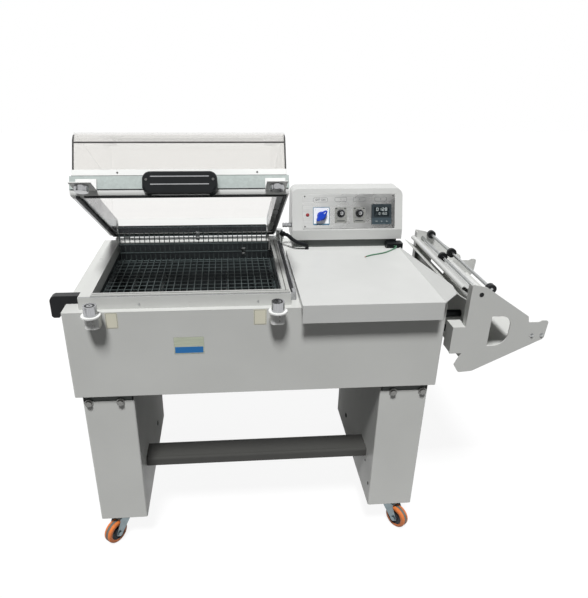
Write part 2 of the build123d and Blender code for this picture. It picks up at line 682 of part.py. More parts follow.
def make_heating():
    """Hairpin heater tubes, the circulation fan on its motor, and the seal transformer."""
    hairpins = []
    ends = heater_ends()
    tail_y = CHAMBER_BACK + HEATER_TAIL
    front_y = CHAMBER_BACK - HEATER_REACH
    for left, right in (ends[:2], ends[2:]):
        corners = [(left, tail_y), (left, front_y), (right, front_y), (right, tail_y)]
        path = FilletPolyline(*corners, radius=HEATER_BEND)
        section = Plane(origin=(left, tail_y, 0), z_dir=(0, -1, 0)) * Circle(HEATER_RADIUS)
        hairpins.append(Pos(0, 0, TUB_FLOOR + HEATER_HEIGHT) * sweep(section, path))
    add("heater_tubes", *hairpins)

    axis = Pos(CHAMBER_MID_X, CHAMBER_MID_Y, TUB_FLOOR)
    flange_top = -TUB_SHEET
    motor = Pos(0, 0, flange_top - MOTOR_FLANGE) * extrude(Circle(MOTOR_FLANGE_RADIUS), MOTOR_FLANGE)
    motor_body = extrude(Circle(MOTOR_RADIUS), MOTOR_HEIGHT)
    motor += Pos(0, 0, flange_top - MOTOR_FLANGE - MOTOR_HEIGHT) * motor_body
    bore_depth = FAN_SHAFT_DROP + RUN_GAP
    motor -= Pos(0, 0, -bore_depth) * extrude(Circle(FAN_SHAFT_RADIUS + SHAFT_GAP), bore_depth)
    add("fan_motor", axis * motor)

    wheel = extrude(Circle(FAN_RADIUS), FAN_PLATE) + extrude(Circle(FAN_HUB_RADIUS), FAN_HEIGHT / 2)
    blade_mid = FAN_RADIUS - FAN_BLADE_DEPTH / 2 - 1
    blade = Rot(0, 0, FAN_BLADE_TURN) * Box(FAN_BLADE_DEPTH, FAN_BLADE_SHEET, FAN_HEIGHT)
    blade = Pos(blade_mid, 0, FAN_HEIGHT / 2) * blade
    wheel += [Rot(0, 0, turn * 360 / FAN_BLADES) * blade for turn in range(FAN_BLADES)]
    shaft_length = FAN_SHAFT_DROP + FAN_RISE
    wheel += Pos(0, 0, -shaft_length) * extrude(Circle(FAN_SHAFT_RADIUS), shaft_length)
    add("fan_wheel", axis * Pos(0, 0, FAN_RISE) * wheel)

    width, depth, height = TRANSFORMER_SIZE
    floor = CABINET_BOTTOM + SHEET
    middle = Pos(TRANSFORMER_X, TRANSFORMER_Y, floor + height / 2)
    core = middle * Box(width, depth, height)
    coil = Box(*TRANSFORMER_COIL)
    coil = middle * fillet(coil.edges().filter_by(Axis.Z), TRANSFORMER_COIL_CORNER)
    add("seal_transformer", core - coil, coil)


def make_tray():
    """Welded wire tray on the tub's ledges, with an upright wire guard at its back."""
    left = CHAMBER_LEFT + TRAY_GAP + FRAME_WIRE_RADIUS
    right = CHAMBER_RIGHT - TRAY_GAP - FRAME_WIRE_RADIUS
    front = CHAMBER_FRONT + TRAY_GAP + FRAME_WIRE_RADIUS
    back = CHAMBER_FRONT + TRAY_REACH
    frame_z = TRAY_LEVEL - FRAME_WIRE_RADIUS
    frame_ends = (front - FRAME_WIRE_RADIUS, back + FRAME_WIRE_RADIUS)
    bars = []
    for x in (left, right):
        bars.append(rod((x, frame_ends[0], frame_z), (x, frame_ends[1], frame_z), FRAME_WIRE_RADIUS))
    between = (left + FRAME_WIRE_RADIUS + WIRE_GAP, right - FRAME_WIRE_RADIUS - WIRE_GAP)
    for y in (front, back):
        bars.append(rod((between[0], y, frame_z), (between[1], y, frame_z), FRAME_WIRE_RADIUS))

    cross_z = TRAY_LEVEL + WIRE_RADIUS + WIRE_GAP
    rows = round((back - front) / TRAY_PITCH_Y)
    for row in range(1, rows):
        y = front + (back - front) * row / rows
        bars.append(rod((left, y, cross_z), (right, y, cross_z), WIRE_RADIUS))
    long_z = cross_z + 2 * WIRE_RADIUS + WIRE_GAP
    columns = round((right - left) / TRAY_PITCH_X)
    for column in range(1, columns):
        x = left + (right - left) * column / columns
        bars.append(rod((x, front, long_z), (x, back - WIRE_RADIUS, long_z), WIRE_RADIUS))

    guard_y = back + FRAME_WIRE_RADIUS + WIRE_RADIUS + WIRE_GAP
    guard_x = (left + GUARD_MARGIN, right - GUARD_MARGIN)
    guard_top = TRAY_LEVEL + GUARD_RISE
    uprights = round((guard_x[1] - guard_x[0]) / GUARD_PITCH)
    for upright in range(uprights + 1):
        x = guard_x[0] + (guard_x[1] - guard_x[0]) * upright / uprights
        bars.append(rod((x, guard_y, frame_z - FRAME_WIRE_RADIUS), (x, guard_y, guard_top), WIRE_RADIUS))
    row_y = guard_y - 2 * WIRE_RADIUS - WIRE_GAP
    row_x = (guard_x[0] - GUARD_OVERHANG, guard_x[1] + GUARD_OVERHANG)
    for row in range(1, GUARD_ROWS + 1):
        z = TRAY_LEVEL + GUARD_RISE * row / GUARD_ROWS - 2 * WIRE_RADIUS
        bars.append(rod((row_x[0], row_y, z), (row_x[1], row_y, z), WIRE_RADIUS))
    add("mesh_tray", *bars)


def rail(x, y):
    """Folded rim rail, open underneath."""
    shell = slab(x, y, (CABINET_TOP, RIM_TOP))
    inside_x = (x[0] + RAIL_SHEET, x[1] - RAIL_SHEET)
    inside_y = (y[0] + RAIL_SHEET, y[1] - RAIL_SHEET)
    return shell - slab(inside_x, inside_y, (CABINET_TOP, RIM_TOP - RAIL_SHEET))


def make_rim():
    """Rails round the chamber mouth and the silicone strip that the blade presses on."""
    front = rail((RIM_LEFT, RIM_RIGHT), (RIM_FRONT, CHAMBER_FRONT))
    left = rail((RIM_LEFT, CHAMBER_LEFT), (CHAMBER_FRONT, CHAMBER_BACK))
    back = rail((RIM_LEFT, RIM_RIGHT), (CHAMBER_BACK, RIM_BACK))
    add("rim_rails", front, left, back)

    step_right = RIM_RIGHT + SEAL_STEP_WIDTH
    section = outline([
        (CHAMBER_RIGHT, CABINET_TOP), (step_right, CABINET_TOP), (step_right, RIM_TOP - SEAL_STEP_DROP),
        (RIM_RIGHT, RIM_TOP - SEAL_STEP_DROP), (RIM_RIGHT, RIM_TOP), (CHAMBER_RIGHT, RIM_TOP),
    ])
    add("side_seal_rail", along_y(section, CHAMBER_FRONT, CHAMBER_BACK))

    middle = RIM_FRONT + RAIL_FRONT_WIDTH / 2
    front_y = (middle - LOWER_STRIP_FRONT_WIDTH / 2, middle + LOWER_STRIP_FRONT_WIDTH / 2)
    strip_z = (RIM_TOP, LOWER_STRIP_TOP)
    side_x = (CHAMBER_RIGHT + LOWER_STRIP_MARGIN, RIM_RIGHT - LOWER_STRIP_MARGIN)
    strip = slab((CHAMBER_LEFT, side_x[1]), front_y, strip_z)
    strip += slab(side_x, (front_y[1], CHAMBER_BACK - LOWER_STRIP_MARGIN), strip_z)
    add("lower_seal_strips", strip)


def make_magnets():
    """Pot magnets on flanged feet that hold the hood down while it seals."""
    pot = extrude(Circle(MAGNET_RADIUS), MAGNET_HEIGHT)
    ring = Circle(MAGNET_RING_RADIUS) - Circle(MAGNET_CORE_RADIUS)
    pot -= Pos(0, 0, MAGNET_HEIGHT - MAGNET_RING_DEPTH) * extrude(ring, MAGNET_RING_DEPTH)
    pot_base = MAGNET_TOP - MAGNET_HEIGHT
    flange_base = pot_base - MAGNET_FLANGE
    flange = extrude(Circle(MAGNET_FLANGE_RADIUS), MAGNET_FLANGE)
    foot_align = (Align.CENTER, Align.MAX, Align.MAX)
    foot = Box(MAGNET_FOOT_WIDTH, MAGNET_FOOT_DEPTH, MAGNET_FOOT_HEIGHT, align=foot_align)
    foot_edges = foot.edges().filter_by(Axis.Z).group_by(Axis.Y)[0]
    foot = fillet(foot_edges, MAGNET_FOOT_CORNER)
    pots = []
    feet = []
    for x in MAGNET_XS:
        pots.append(Pos(x, -MAGNET_FORWARD, pot_base) * pot)
        foot_top = Pos(x, 0, flange_base) * foot
        feet.append(Pos(x, -MAGNET_FORWARD, flange_base) * flange + foot_top)
    add("magnets", *pots)
    front_panel = slab((0, CABINET_WIDTH), (0, CABINET_DEPTH), (CABINET_BOTTOM, RIM_TOP))
    add("magnet_brackets", *[foot - front_panel for foot in feet])


def make_side_handle():
    """Hooked lifting grip at the left end of the rim."""
    bottom = GRIP_TOP - GRIP_DROP
    arm_bottom = CABINET_TOP + GRIP_LIFT
    grip = outline(
        [
            (RIM_LEFT, arm_bottom), (-GRIP_GAP, arm_bottom), (-GRIP_GAP, bottom),
            (-GRIP_REACH, bottom), (-GRIP_REACH, GRIP_TOP), (RIM_LEFT, GRIP_TOP),
        ],
        [0, GRIP_CORNER, GRIP_CORNER, GRIP_CORNER, GRIP_CORNER + 4, 0],
    )
    handle = along_y(grip, GRIP_FRONT, GRIP_FRONT + GRIP_THICKNESS)
    rib_x = (RIM_LEFT - GRIP_ARM, RIM_LEFT - GRIP_ARM / 3)
    handle += slab(rib_x, (GRIP_FRONT + 6, GRIP_FRONT + GRIP_THICKNESS - 6), (GRIP_TOP, GRIP_TOP + 4))
    add("side_handle", handle)


def make_table():
    """Work table of bent sheet: top, front skirt, side and rear flanges and a raised wing."""
    wing_end = (TABLE_RIGHT + TABLE_WING, TABLE_TOP + TABLE_WING_RISE)
    slope = hypot(TABLE_WING, TABLE_WING_RISE)
    shift = (TABLE_SHEET * TABLE_WING_RISE / slope, -TABLE_SHEET * TABLE_WING / slope)
    under = TABLE_TOP - TABLE_SHEET
    section = outline([
        (TABLE_LEFT, CABINET_TOP), (TABLE_LEFT + TABLE_SHEET, CABINET_TOP),
        (TABLE_LEFT + TABLE_SHEET, under), (TABLE_RIGHT + TABLE_SHEET / 2, under),
        (wing_end[0] + shift[0], wing_end[1] + shift[1]), wing_end,
        (TABLE_RIGHT, TABLE_TOP), (TABLE_LEFT, TABLE_TOP),
    ])
    table = along_y(section, TABLE_FRONT, TABLE_BACK)
    skirt_z = (TABLE_TOP - TABLE_SKIRT, TABLE_TOP)
    wide = (TABLE_LEFT, TABLE_RIGHT)
    table += slab(wide, (TABLE_FRONT, TABLE_FRONT + TABLE_SHEET), skirt_z)
    table += slab(wide, (TABLE_BACK - TABLE_SHEET, TABLE_BACK), (CABINET_TOP, TABLE_TOP))
    beyond = wing_end[0] + 2 * TABLE_SHEET
    waste = outline([
        (wing_end[0] - TABLE_WING_CUT, TABLE_FRONT), (beyond, TABLE_FRONT), (beyond, TABLE_BACK),
        (TABLE_RIGHT + TABLE_WING_REAR, TABLE_BACK), (wing_end[0], TABLE_FRONT + TABLE_WING_CUT_LENGTH),
    ])
    add("work_table", table - Pos(0, 0, under) * extrude(waste, 2 * TABLE_WING_RISE))


def make_hood():
    """Hood frame, clear cover, handle, armatures, seals and hinge shaft, all swung open."""
    bar_z = (HOOD_BASE, BAR_TOP)
    back_start = HOOD_BACK - REAR_BAR_DEPTH
    front_end = HOOD_FRONT + FRONT_BAR_DEPTH
    front_section = outline([
        (HOOD_FRONT + BAR_LIP_SLOPE, HOOD_BASE), (front_end, HOOD_BASE), (front_end, BAR_TOP),
        (HOOD_FRONT, BAR_TOP), (HOOD_FRONT, HOOD_BASE + BAR_LIP),
    ])
    front = along_x(front_section, HOOD_LEFT, HOOD_RIGHT)
    left = slab((HOOD_LEFT, HOOD_LEFT + BAR_WIDTH), (front_end, back_start), bar_z)
    right = slab((HOOD_RIGHT - BAR_WIDTH, HOOD_RIGHT), (front_end, back_start), bar_z)
    back = slab((HOOD_LEFT, HOOD_RIGHT), (back_start, HOOD_BACK), bar_z)
    lug = outline([
        (HOOD_BACK, HOOD_BASE), (HOOD_BACK, HOOD_BASE + LUG_HEIGHT), (HINGE_Y + LUG_RADIUS, HINGE_Z + 2),
        (HINGE_Y + LUG_RADIUS, HINGE_Z - 2), (HINGE_Y, HINGE_Z - LUG_RADIUS),
    ])
    lug += Pos(HINGE_Y, HINGE_Z) * Circle(LUG_RADIUS)
    lug -= Pos(HINGE_Y, HINGE_Z) * Circle(SHAFT_RADIUS + SHAFT_GAP)
    for x in (HOOD_LEFT + LUG_INSET, HOOD_RIGHT - LUG_INSET - LUG_WIDTH):
        back += along_x(lug, x, x + LUG_WIDTH)
    cover_y = HOOD_FRONT + COVER_SETBACK
    clamp_x = (HOOD_LEFT + COVER_INSET, HOOD_RIGHT - COVER_INSET)
    clamp = slab(clamp_x, (cover_y - CLAMP_SHEET, cover_y), (BAR_TOP, BAR_TOP + CLAMP_HEIGHT))
    add("hood_frame", *[opened(bar) for bar in (front, left, right, back, clamp)])

    rear_y = HOOD_BACK - COVER_REAR_SETBACK
    cover_top = BAR_TOP + COVER_HEIGHT
    shape = [(cover_y, BAR_TOP), (cover_y, cover_top), (rear_y, cover_top), (rear_y, BAR_TOP)]
    bends = [0, COVER_FRONT_BEND, COVER_REAR_BEND, 0]
    outside = outline(shape, bends)
    inside = cover_profile(shape, bends, COVER_SHEET)
    end_panel = cover_profile(shape, bends, COVER_SHEET + COVER_GLUE)
    sheet = along_x(outside - inside, *clamp_x)
    left_end = along_x(end_panel, clamp_x[0], clamp_x[0] + COVER_SHEET)
    right_end = along_x(end_panel, clamp_x[1] - COVER_SHEET, clamp_x[1])
    add("hood_cover", *[opened(panel) for panel in (sheet, left_end, right_end)])

    add("hood_handle", opened(make_handle()))
    add("armatures", *[opened(piece) for piece in armature_pieces()])
    add("hood_seals", *[opened(strip) for strip in hood_seal_strips()])
    shaft_x = (HOOD_LEFT + LUG_INSET - SHAFT_TAIL, POST_X + POST_RADIUS + SHAFT_TAIL)
    shaft = rod((shaft_x[0], HINGE_Y, HINGE_Z), (shaft_x[1], HINGE_Y, HINGE_Z), SHAFT_RADIUS)
    add("hinge_shaft", opened(shaft))


def cover_profile(shape, bends, inset):
    """Profile of the cover drawn in by a distance at the front, top and rear."""
    (front, base), (_, top), (rear, _), _ = shape
    front += inset
    rear -= inset
    top -= inset
    points = [(front, base), (front, top), (rear, top), (rear, base)]
    return outline(points, [max(bend - inset, 0) for bend in bends])


def make_handle():
    """Moulded pull handle on the front bar, open below for the fingers."""
    middle_z = BAR_TOP + 2 - HANDLE_HEIGHT / 2
    face = RectangleRounded(HANDLE_WIDTH, HANDLE_HEIGHT, HANDLE_CORNER)
    body = along_y(Pos(HOOD_MID_X, middle_z) * face, HOOD_FRONT - HANDLE_DEPTH, HOOD_FRONT)
    body = fillet(body.faces().sort_by(Axis.Y)[0].edges(), HANDLE_EDGE)
    bottom = middle_z - HANDLE_HEIGHT / 2
    pocket_x = (HOOD_MID_X - HANDLE_POCKET_WIDTH / 2, HOOD_MID_X + HANDLE_POCKET_WIDTH / 2)
    pocket_y = (HOOD_FRONT - HANDLE_DEPTH + HANDLE_WALL, HOOD_FRONT)
    body -= slab(pocket_x, pocket_y, (bottom, bottom + HANDLE_POCKET_HEIGHT))
    groove_x = (HOOD_MID_X - GROOVE_WIDTH / 2, HOOD_MID_X + GROOVE_WIDTH / 2)
    groove_y = (HOOD_FRONT - HANDLE_DEPTH, HOOD_FRONT - HANDLE_DEPTH + GROOVE_DEPTH)
    for way in (-1, 1):
        z = middle_z + HANDLE_DROP / 2 + way * GROOVE_PITCH / 2
        body -= slab(groove_x, groove_y, (z - GROOVE_HEIGHT / 2, z + GROOVE_HEIGHT / 2))
    return body


def armature_pieces():
    """Angle plates on the front bar, each with a steel disc over a magnet."""
    disc_bottom = MAGNET_TOP + RUN_GAP
    shelf = disc_bottom + ARMATURE_DISC
    pieces = []
    for x in MAGNET_XS:
        wide = (x - ARMATURE_WIDTH / 2, x + ARMATURE_WIDTH / 2)
        front = -MAGNET_FORWARD - ARMATURE_REACH
        plate = slab(wide, (front, HOOD_FRONT), (shelf, shelf + ARMATURE_SHEET))
        plate += slab(wide, (HOOD_FRONT - ARMATURE_SHEET, HOOD_FRONT), (shelf, shelf + ARMATURE_FLANGE))
        pieces.append(plate)
        pieces.append(Pos(x, -MAGNET_FORWARD, disc_bottom) * extrude(Circle(MAGNET_RADIUS), ARMATURE_DISC))
    return pieces


def hood_seal_strips():
    """Gasket along the left and rear bars, and the L-shaped blade at the front and right."""
    left_x = (HOOD_LEFT + SEAL_MARGIN, HOOD_LEFT + SEAL_MARGIN + SEAL_WIDTH)
    front_mid = RIM_FRONT + RAIL_FRONT_WIDTH / 2
    blade_y = (front_mid - BLADE_WIDTH / 2, front_mid + BLADE_WIDTH / 2)
    side_mid = CHAMBER_RIGHT + SEAL_RAIL_WIDTH / 2
    blade_x = (side_mid - BLADE_WIDTH / 2, side_mid + BLADE_WIDTH / 2)
    rear_mid = CHAMBER_BACK + RAIL_BACK_WIDTH / 2
    rear_y = (rear_mid - SEAL_WIDTH / 2, rear_mid + SEAL_WIDTH / 2)
    gasket_z = (RIM_TOP + RUN_GAP, HOOD_BASE)
    blade_z = (LOWER_STRIP_TOP + RUN_GAP, HOOD_BASE)
    gasket = slab(left_x, (blade_y[0], rear_y[1]), gasket_z)
    gasket += slab((left_x[1], blade_x[1]), rear_y, gasket_z)
    blade = slab((CHAMBER_LEFT, blade_x[1]), blade_y, blade_z)
    blade += slab(blade_x, (blade_y[1], CHAMBER_BACK - LOWER_STRIP_MARGIN), blade_z)
    return [gasket, blade]


def make_hinge_carriers():
    """Round post at the right and bearing block at the left that carry the hinge shaft."""
    bore_radius = SHAFT_RADIUS + SHAFT_GAP
    post_top = HINGE_Z + POST_RISE
    post = Pos(POST_X, HINGE_Y, CABINET_TOP) * extrude(Circle(POST_RADIUS), post_top - CABINET_TOP)
    reach = POST_RADIUS + SHAFT_TAIL
    post -= rod((POST_X - reach, HINGE_Y, HINGE_Z), (POST_X + reach, HINGE_Y, HINGE_Z), bore_radius)
    block_x = (HOOD_LEFT + BLOCK_INSET, HOOD_LEFT + BLOCK_INSET + BLOCK_WIDTH)
    block = slab(block_x, (HINGE_Y - BLOCK_RADIUS, HINGE_Y + BLOCK_RADIUS), (CABINET_TOP, HINGE_Z))
    block += rod((block_x[0], HINGE_Y, HINGE_Z), (block_x[1], HINGE_Y, HINGE_Z), BLOCK_RADIUS)
    block -= rod((block_x[0], HINGE_Y, HINGE_Z), (block_x[1], HINGE_Y, HINGE_Z), bore_radius)
    add("hinge_posts", post, block)


def make_control_box():
    """Sloped control box on a plinth, with its faceplate and everything on it."""
    height = BOX_HEIGHT
    side = [
        (BOX_FRONT, BOX_BASE), (BOX_BACK, BOX_BASE), (BOX_BACK, BOX_BASE + height),
        (BOX_FRONT + BOX_LEAN, BOX_BASE + height), (BOX_FRONT, BOX_BASE + BOX_CREASE),
    ]
    right = BOX_LEFT + BOX_WIDTH
    shell = along_x(outline(side), BOX_LEFT, right)
    shell = fillet(shell.edges().filter_by(Axis.Y).group_by(Axis.Z)[-1], BOX_CORNER)
    inner_face = offset(outline(side), -BOX_SHEET)
    hollow = along_x(inner_face, BOX_LEFT + BOX_SHEET, right - BOX_SHEET)
    hollow = fillet(hollow.edges().filter_by(Axis.Y).group_by(Axis.Z)[-1], BOX_CORNER - BOX_SHEET)
    shell -= hollow
    face = FACE_PLANE * Pos(FACE_WIDTH / 2, FACE_BOTTOM + FACE_HEIGHT / 2, 0) * extrude(
        RectangleRounded(FACE_WIDTH, FACE_HEIGHT, BOX_SHEET), FACE_SHEET
    )
    dial_bore = extrude(Circle(KNOB_SHAFT_RADIUS + SHAFT_GAP), 2 * KNOB_SHAFT_DROP, both=True)
    shafts = [on_face(x, DIAL_UP) * dial_bore for x in DIAL_XS]
    shafts.append(on_face(SWITCH_X, SWITCH_UP) * dial_bore)
    window = extrude(Rectangle(CONTROLLER_BODY, CONTROLLER_BODY), BOX_SHEET + FACE_SHEET + 2, both=True)
    window = on_face(CONTROLLER_X, CONTROLLER_UP) * window
    add("control_box", shell - shafts - window)
    add("control_faceplate", face - shafts - window)

    plinth_x = (BOX_LEFT + PLINTH_INSET, right - PLINTH_INSET)
    plinth_y = (BOX_FRONT + PLINTH_SETBACK, BOX_BACK - PLINTH_SETBACK / 2)
    add("control_plinth", slab(plinth_x, plinth_y, (CABINET_TOP, BOX_BASE)))

    lamp = extrude(Circle(LAMP_RADIUS + 1), LAMP_HEIGHT / 3)
    dome = fillet(extrude(Circle(LAMP_RADIUS), LAMP_HEIGHT).edges().group_by(Axis.Z)[-1], LAMP_RADIUS / 2)
    add("indicator_lamp", on_face(LAMP_X, LAMP_UP, FACE_SHEET) * (lamp + dome))

    switch_plate = extrude(RectangleRounded(*SWITCH_PLATE, 3), SWITCH_PLATE_SHEET)
    plates = [on_face(SWITCH_X, SWITCH_UP, FACE_SHEET) * switch_plate]
    dial_plate = extrude(RectangleRounded(*DIAL_PLATE, 3), SWITCH_PLATE_SHEET)
    for x in DIAL_XS:
        plates.append(on_face(x, DIAL_UP - DIAL_PLATE_DROP, FACE_SHEET) * dial_plate)
    add("scale_plates", *[plate - shafts for plate in plates])
    make_knobs()
    make_controller()


def make_knobs():
    """Lever switch and two timer knobs, each on a shaft through the panel."""
    seat = FACE_SHEET + SWITCH_PLATE_SHEET + RUN_GAP
    shaft = Pos(0, 0, -KNOB_SHAFT_DROP) * extrude(Circle(KNOB_SHAFT_RADIUS), KNOB_SHAFT_DROP)
    base = extrude(Circle(SWITCH_RADIUS), SWITCH_BASE)
    head = Pos(SWITCH_LEVER_HEAD[0] - SWITCH_LEVER_HEAD[1]) * Circle(SWITCH_LEVER_HEAD[1])
    nose = Pos(SWITCH_LEVER_NOSE[1] - SWITCH_LEVER_NOSE[0]) * Circle(SWITCH_LEVER_NOSE[1])
    lever = extrude(make_hull([*head.edges(), *nose.edges()]), SWITCH_LEVER_RISE)
    lever = Pos(0, 0, SWITCH_BASE) * fillet(lever.edges().group_by(Axis.Z)[-1], 2)
    switch = Rot(0, 0, SWITCH_TURN) * (base + lever) + shaft
    add("main_switch_knob", on_face(SWITCH_X, SWITCH_UP, seat) * switch)

    knob = extrude(Circle(KNOB_RADIUS), KNOB_SKIRT)
    knob += Pos(0, 0, KNOB_SKIRT) * extrude(Circle(KNOB_RADIUS - 2), KNOB_HEIGHT - KNOB_SKIRT, taper=4)
    knob += Pos(0, 0, KNOB_HEIGHT) * extrude(Circle(KNOB_CAP_RADIUS), 1)
    pointer = (KNOB_RADIUS - 1, KNOB_RADIUS - 1)
    knob -= Pos(0, pointer[0], KNOB_SKIRT - 1) * Box(1.6, 5, 3)
    for name, x in zip(("timer_knob_left", "timer_knob_right"), DIAL_XS):
        add(name, on_face(x, DIAL_UP, seat) * (knob + shaft))


def make_controller():
    """Temperature controller with a recessed screen and a row of sprung keys."""
    bezel = extrude(RectangleRounded(CONTROLLER_SIZE, CONTROLLER_SIZE, 3), CONTROLLER_BEZEL)
    screen_floor = CONTROLLER_BEZEL - SCREEN_DEPTH
    bezel -= Pos(0, SCREEN_UP, screen_floor) * extrude(Rectangle(*SCREEN_SIZE), SCREEN_DEPTH)
    body_size = CONTROLLER_BODY - 2 * SHEET_GAP
    body = extrude(Rectangle(body_size, body_size), CONTROLLER_BODY_DEPTH)
    body = Pos(0, 0, -CONTROLLER_BODY_DEPTH) * body
    width, height = KEY_SIZE
    pocket = Rectangle(width + 2 * KEY_GAP, height + 2 * KEY_GAP)
    pocket = Pos(0, 0, CONTROLLER_BEZEL - KEY_POCKET) * extrude(pocket, KEY_POCKET)
    key = RectangleRounded(width, height, 1)
    key_base = CONTROLLER_BEZEL + KEY_PROUD - KEY_THICKNESS
    seat = on_face(CONTROLLER_X, CONTROLLER_UP, FACE_SHEET)
    for name, step in (("controller_key_set", -1), ("controller_key_down", 0), ("controller_key_up", 1)):
        place = Pos(step * KEY_PITCH, -KEY_DOWN, 0)
        bezel -= place * pocket
        add(name, seat * place * Pos(0, 0, key_base) * extrude(key, KEY_THICKNESS))
    add("temperature_controller", seat * (bezel + body))


def make_cables():
    """Conduit from the hinge post to the deck, its glands, and the short earth lead."""
    exit_z = HINGE_Z + POST_RISE - CONDUIT_EXIT_DROP
    post_axis = Vector(POST_X, HINGE_Y, exit_z)
    heading = Vector(*CONDUIT_HEADING, 0).normalized()
    gland_end = post_axis + heading * (POST_RADIUS + GLAND_LENGTH)
    post_foot = Vector(POST_X, HINGE_Y, CABINET_TOP)
    conduit = [gland_end + heading * SHEET_GAP, *[post_foot + Vector(*step) for step in CONDUIT_ROUTE]]
    add("cable_conduit", cable(conduit, CONDUIT_RADIUS))

    post = Pos(POST_X, HINGE_Y, 0) * extrude(Circle(POST_RADIUS), 2 * HINGE_Z)
    post_gland = rod(tuple(post_axis), tuple(gland_end), GLAND_RADIUS) - post
    box_gland_y = BOX_FRONT + BOX_GLAND_BACK
    box_gland_z = BOX_BASE + BOX_GLAND_RISE
    box_gland_start = (BOX_LEFT - BOX_GLAND_LENGTH, box_gland_y, box_gland_z)
    box_gland = rod(box_gland_start, (BOX_LEFT, box_gland_y, box_gland_z), BOX_GLAND_RADIUS)
    width, depth, height = TERMINAL_SIZE
    terminal_y = (TERMINAL_BACK - depth, TERMINAL_BACK)
    terminal_x = (TERMINAL_X - width / 2, TERMINAL_X + width / 2)
    terminal = slab(terminal_x, terminal_y, (CABINET_TOP, CABINET_TOP + height))
    terminal = fillet(terminal.edges().filter_by(Axis.Z), 5)
    add("cable_glands", post_gland, box_gland, terminal)
    terminal_foot = Vector(TERMINAL_X, TERMINAL_BACK, CABINET_TOP)
    add("earth_lead", cable([terminal_foot + Vector(*step) for step in LEAD_ROUTE], LEAD_RADIUS))


def cable(points, radius):
    """Round cable along a route, each bend as wide as the two runs beside it allow."""
    bends = []
    for before, here, after in zip(points, points[1:], points[2:]):
        turn = radians((here - before).get_angle(after - here))
        shorter = min((here - before).length, (after - here).length)
        bends.append(CABLE_BEND_SHARE * shorter / tan(turn / 2))
    path = FilletPolyline(*points, radius=bends)
    return sweep(Plane(origin=points[0], z_dir=path % 0) * Circle(radius), path)


def unwinder_plate(front, way):
    """Side plate of the unwinder; way is the direction of its flanges along Y."""
    arm_bottom = UNWINDER_ARM_TOP - UNWINDER_ARM_HEIGHT
    cradle = (CRADLE_X - CRADLE_WIDTH / 2, CRADLE_X + CRADLE_WIDTH / 2)
    shape = [
        (UNWINDER_LEFT, UNWINDER_TOP), (UNWINDER_LEFT + 42, UNWINDER_TOP - 9),
        (cradle[0] - 4, CRADLE_FLOOR + 19), (cradle[0], CRADLE_FLOOR), (cradle[1], CRADLE_FLOOR),
        (cradle[1] + 9, CRADLE_FLOOR + 5), (UNWINDER_TIP, CRADLE_FLOOR + 4),
        (UNWINDER_TIP - 4, CRADLE_FLOOR - 54),
        (UNWINDER_LEFT + 41, arm_bottom - 62), (UNWINDER_LEFT, arm_bottom - 65),
        (UNWINDER_LEFT - 17, arm_bottom - 38), (UNWINDER_LEFT, arm_bottom), (UNWINDER_ARM_LEFT, arm_bottom),
        (UNWINDER_ARM_LEFT, UNWINDER_ARM_TOP), (UNWINDER_LEFT, UNWINDER_ARM_TOP),
    ]
    face = outline(shape, [3, 12, 5, 5, 3, 4, 8, 14, 25, 8, 6, 0, 2, 2, 0])
    face -= Pos(LOWER_ROD_X, LOWER_ROD_Z) * Circle(ROD_RADIUS)
    hole_right = HAND_HOLE_X + HAND_HOLE_WIDTH
    hole_top = HAND_HOLE_Z + HAND_HOLE_HEIGHT
    hand_hole = [
        (HAND_HOLE_X, HAND_HOLE_Z), (hole_right, HAND_HOLE_Z),
        (hole_right, hole_top), (HAND_HOLE_X, hole_top),
    ]
    face -= outline(hand_hole, [2, HAND_HOLE_WIDTH * 0.7, HAND_HOLE_WIDTH * 0.5, 2])
    back = front + way * UNWINDER_SHEET
    plate = along_y(face, min(front, back), max(front, back))
    sheet = UNWINDER_SHEET
    left, arm_left, arm_top = UNWINDER_LEFT, UNWINDER_ARM_LEFT, UNWINDER_ARM_TOP
    end = front + way * UNWINDER_FLANGE
    plate += slab((left, left + sheet), sorted((front, end)), (arm_top, UNWINDER_TOP - 4))
    arm_y = sorted((front, front + way * UNWINDER_ARM_FLANGE))
    plate += slab((arm_left, left + sheet), arm_y, (arm_top - sheet, arm_top))
    plate += slab((arm_left, arm_left + sheet), arm_y, (arm_bottom + 4, arm_top))
    return plate


